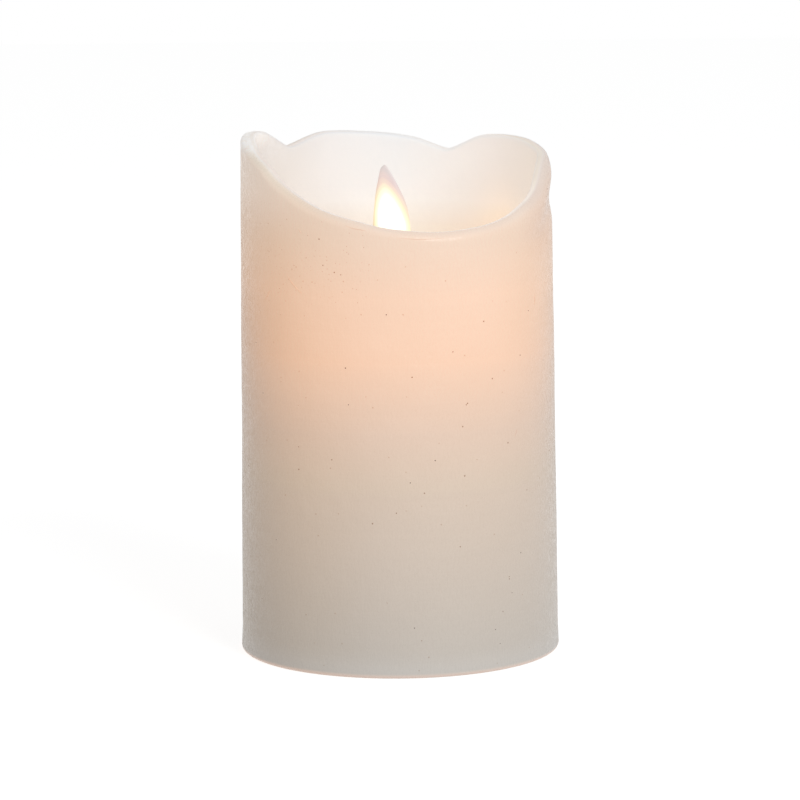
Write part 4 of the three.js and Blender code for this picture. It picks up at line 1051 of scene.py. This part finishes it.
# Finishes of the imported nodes
def dress_nodes():
    finishes = {
        "base_plastic": plastic_material("base_ivory", (0.74, 0.70, 0.62), 0.45),
        "tower_plastic": plastic_material("tower_white", (0.80, 0.79, 0.75), 0.4),
        "black_plastic": plastic_material("plastic_black", (0.015, 0.015, 0.017), 0.35),
        "lamp_lens": lens_material(),
        "steel": metal_material("steel_zinc", (0.56, 0.57, 0.60), 0.35),
        "nickel": metal_material("nickel_plate", (0.66, 0.62, 0.56), 0.28, (1, 8, 1)),
        "copper": copper_material(),
        "circuit_board": board_material(),
        "resistor_body": resistor_material(),
        "red_wire": plastic_material("wire_red", (0.48, 0.02, 0.015), 0.4),
        "black_wire": plastic_material("wire_black", (0.014, 0.014, 0.016), 0.4),
    }
    cells = {"battery_cell_a": cell_material(1), "battery_cell_b": cell_material(-1)}
    for name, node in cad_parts.items():
        if node.hide_render:
            continue
        slot = node.material_slots[0]
        slot.material = cells.get(name) or finishes[slot.material.name.split(".")[0]]


# Stage
def look_at(thing, target):
    direction = Vector(target) - thing.location
    thing.rotation_euler = direction.to_track_quat("-Z", "Y").to_euler()


def area_light(name, place, size, power, colour):
    data = bpy.data.lights.new(name, "AREA")
    data.shape = "DISK"
    data.size = size
    data.energy = power
    data.color = colour
    lamp = bpy.data.objects.new(name, data)
    lamp.location = place
    bpy.context.scene.collection.objects.link(lamp)
    look_at(lamp, (0, 0, TARGET_HEIGHT))


def seen_rays(tree):
    """1 for camera, glossy and transmission rays, else 0."""
    path = tree.nodes.new("ShaderNodeLightPath")
    total = path.outputs["Is Camera Ray"]
    for other in ("Is Glossy Ray", "Is Transmission Ray"):
        node = tree.nodes.new("ShaderNodeMath")
        node.operation = "MAXIMUM"
        tree.links.new(total, node.inputs[0])
        tree.links.new(path.outputs[other], node.inputs[1])
        total = node.outputs[0]
    return total


def make_world():
    world = bpy.data.worlds.new("studio")
    world.use_nodes = True
    tree = world.node_tree
    background = tree.nodes["Background"]
    strength = tree.nodes.new("ShaderNodeMapRange")
    tree.links.new(seen_rays(tree), strength.inputs["Value"])
    strength.inputs["To Min"].default_value = WORLD_LEVEL
    strength.inputs["To Max"].default_value = 1.0
    background.inputs["Color"].default_value = (1, 1, 1, 1)
    tree.links.new(strength.outputs[0], background.inputs["Strength"])
    bpy.context.scene.world = world


def make_floor():
    """A pale floor that keeps the shadow, and can be looked through from below."""
    half = FLOOR_HALF
    corners = [(-half, -half), (half, -half), (half, half), (-half, half)]
    corners = [(x, y, FLOOR_LEVEL) for x, y in corners]
    floor = mesh_object("floor", corners, [(0, 1, 2, 3)], smooth=False)
    material = bpy.data.materials.new("floor_pale")
    material.use_nodes = True
    tree = material.node_tree
    shader = tree.nodes["Principled BSDF"]
    shader.inputs["Base Color"].default_value = (FLOOR_GREY, FLOOR_GREY, FLOOR_GREY, 1)
    shader.inputs["Roughness"].default_value = 0.9
    shader.inputs["Specular IOR Level"].default_value = 0.0
    shader.inputs["Emission Color"].default_value = (1, 1, 1, 1)
    lift = tree.nodes.new("ShaderNodeMath")
    lift.operation = "MULTIPLY"
    tree.links.new(seen_rays(tree), lift.inputs[0])
    lift.inputs[1].default_value = FLOOR_LIFT
    tree.links.new(lift.outputs[0], shader.inputs["Emission Strength"])
    clear = tree.nodes.new("ShaderNodeBsdfTransparent")
    mix = tree.nodes.new("ShaderNodeMixShader")
    side = tree.nodes.new("ShaderNodeNewGeometry")
    tree.links.new(side.outputs["Backfacing"], mix.inputs[0])
    tree.links.new(shader.outputs[0], mix.inputs[1])
    tree.links.new(clear.outputs[0], mix.inputs[2])
    tree.links.new(mix.outputs[0], tree.nodes["Material Output"].inputs["Surface"])
    floor.data.materials.append(material)
    floor.visible_shadow = False
    floor.visible_diffuse = False


def make_camera():
    data = bpy.data.cameras.new("camera")
    data.lens = LENS
    data.sensor_width = SENSOR
    camera = bpy.data.objects.new("camera", data)
    turn = Matrix.Rotation(CAMERA_PITCH, 4, "X") @ Matrix.Rotation(CAMERA_ROLL, 4, "Z")
    camera.matrix_world = Matrix.Translation(CAMERA_PLACE) @ turn
    bpy.context.scene.collection.objects.link(camera)
    bpy.context.scene.camera = camera


make_camera()
make_world()
make_floor()
area_light("key", KEY_PLACE, KEY_SIZE, KEY_POWER, KEY_COLOUR)
area_light("fill", FILL_PLACE, FILL_SIZE, FILL_POWER, FILL_COLOUR)
skin = make_wax()
make_flecks(skin)
make_hairlines(skin)
make_flame()
dress_nodes()
make_marks()
bpy.context.scene.view_settings.view_transform = "Standard"
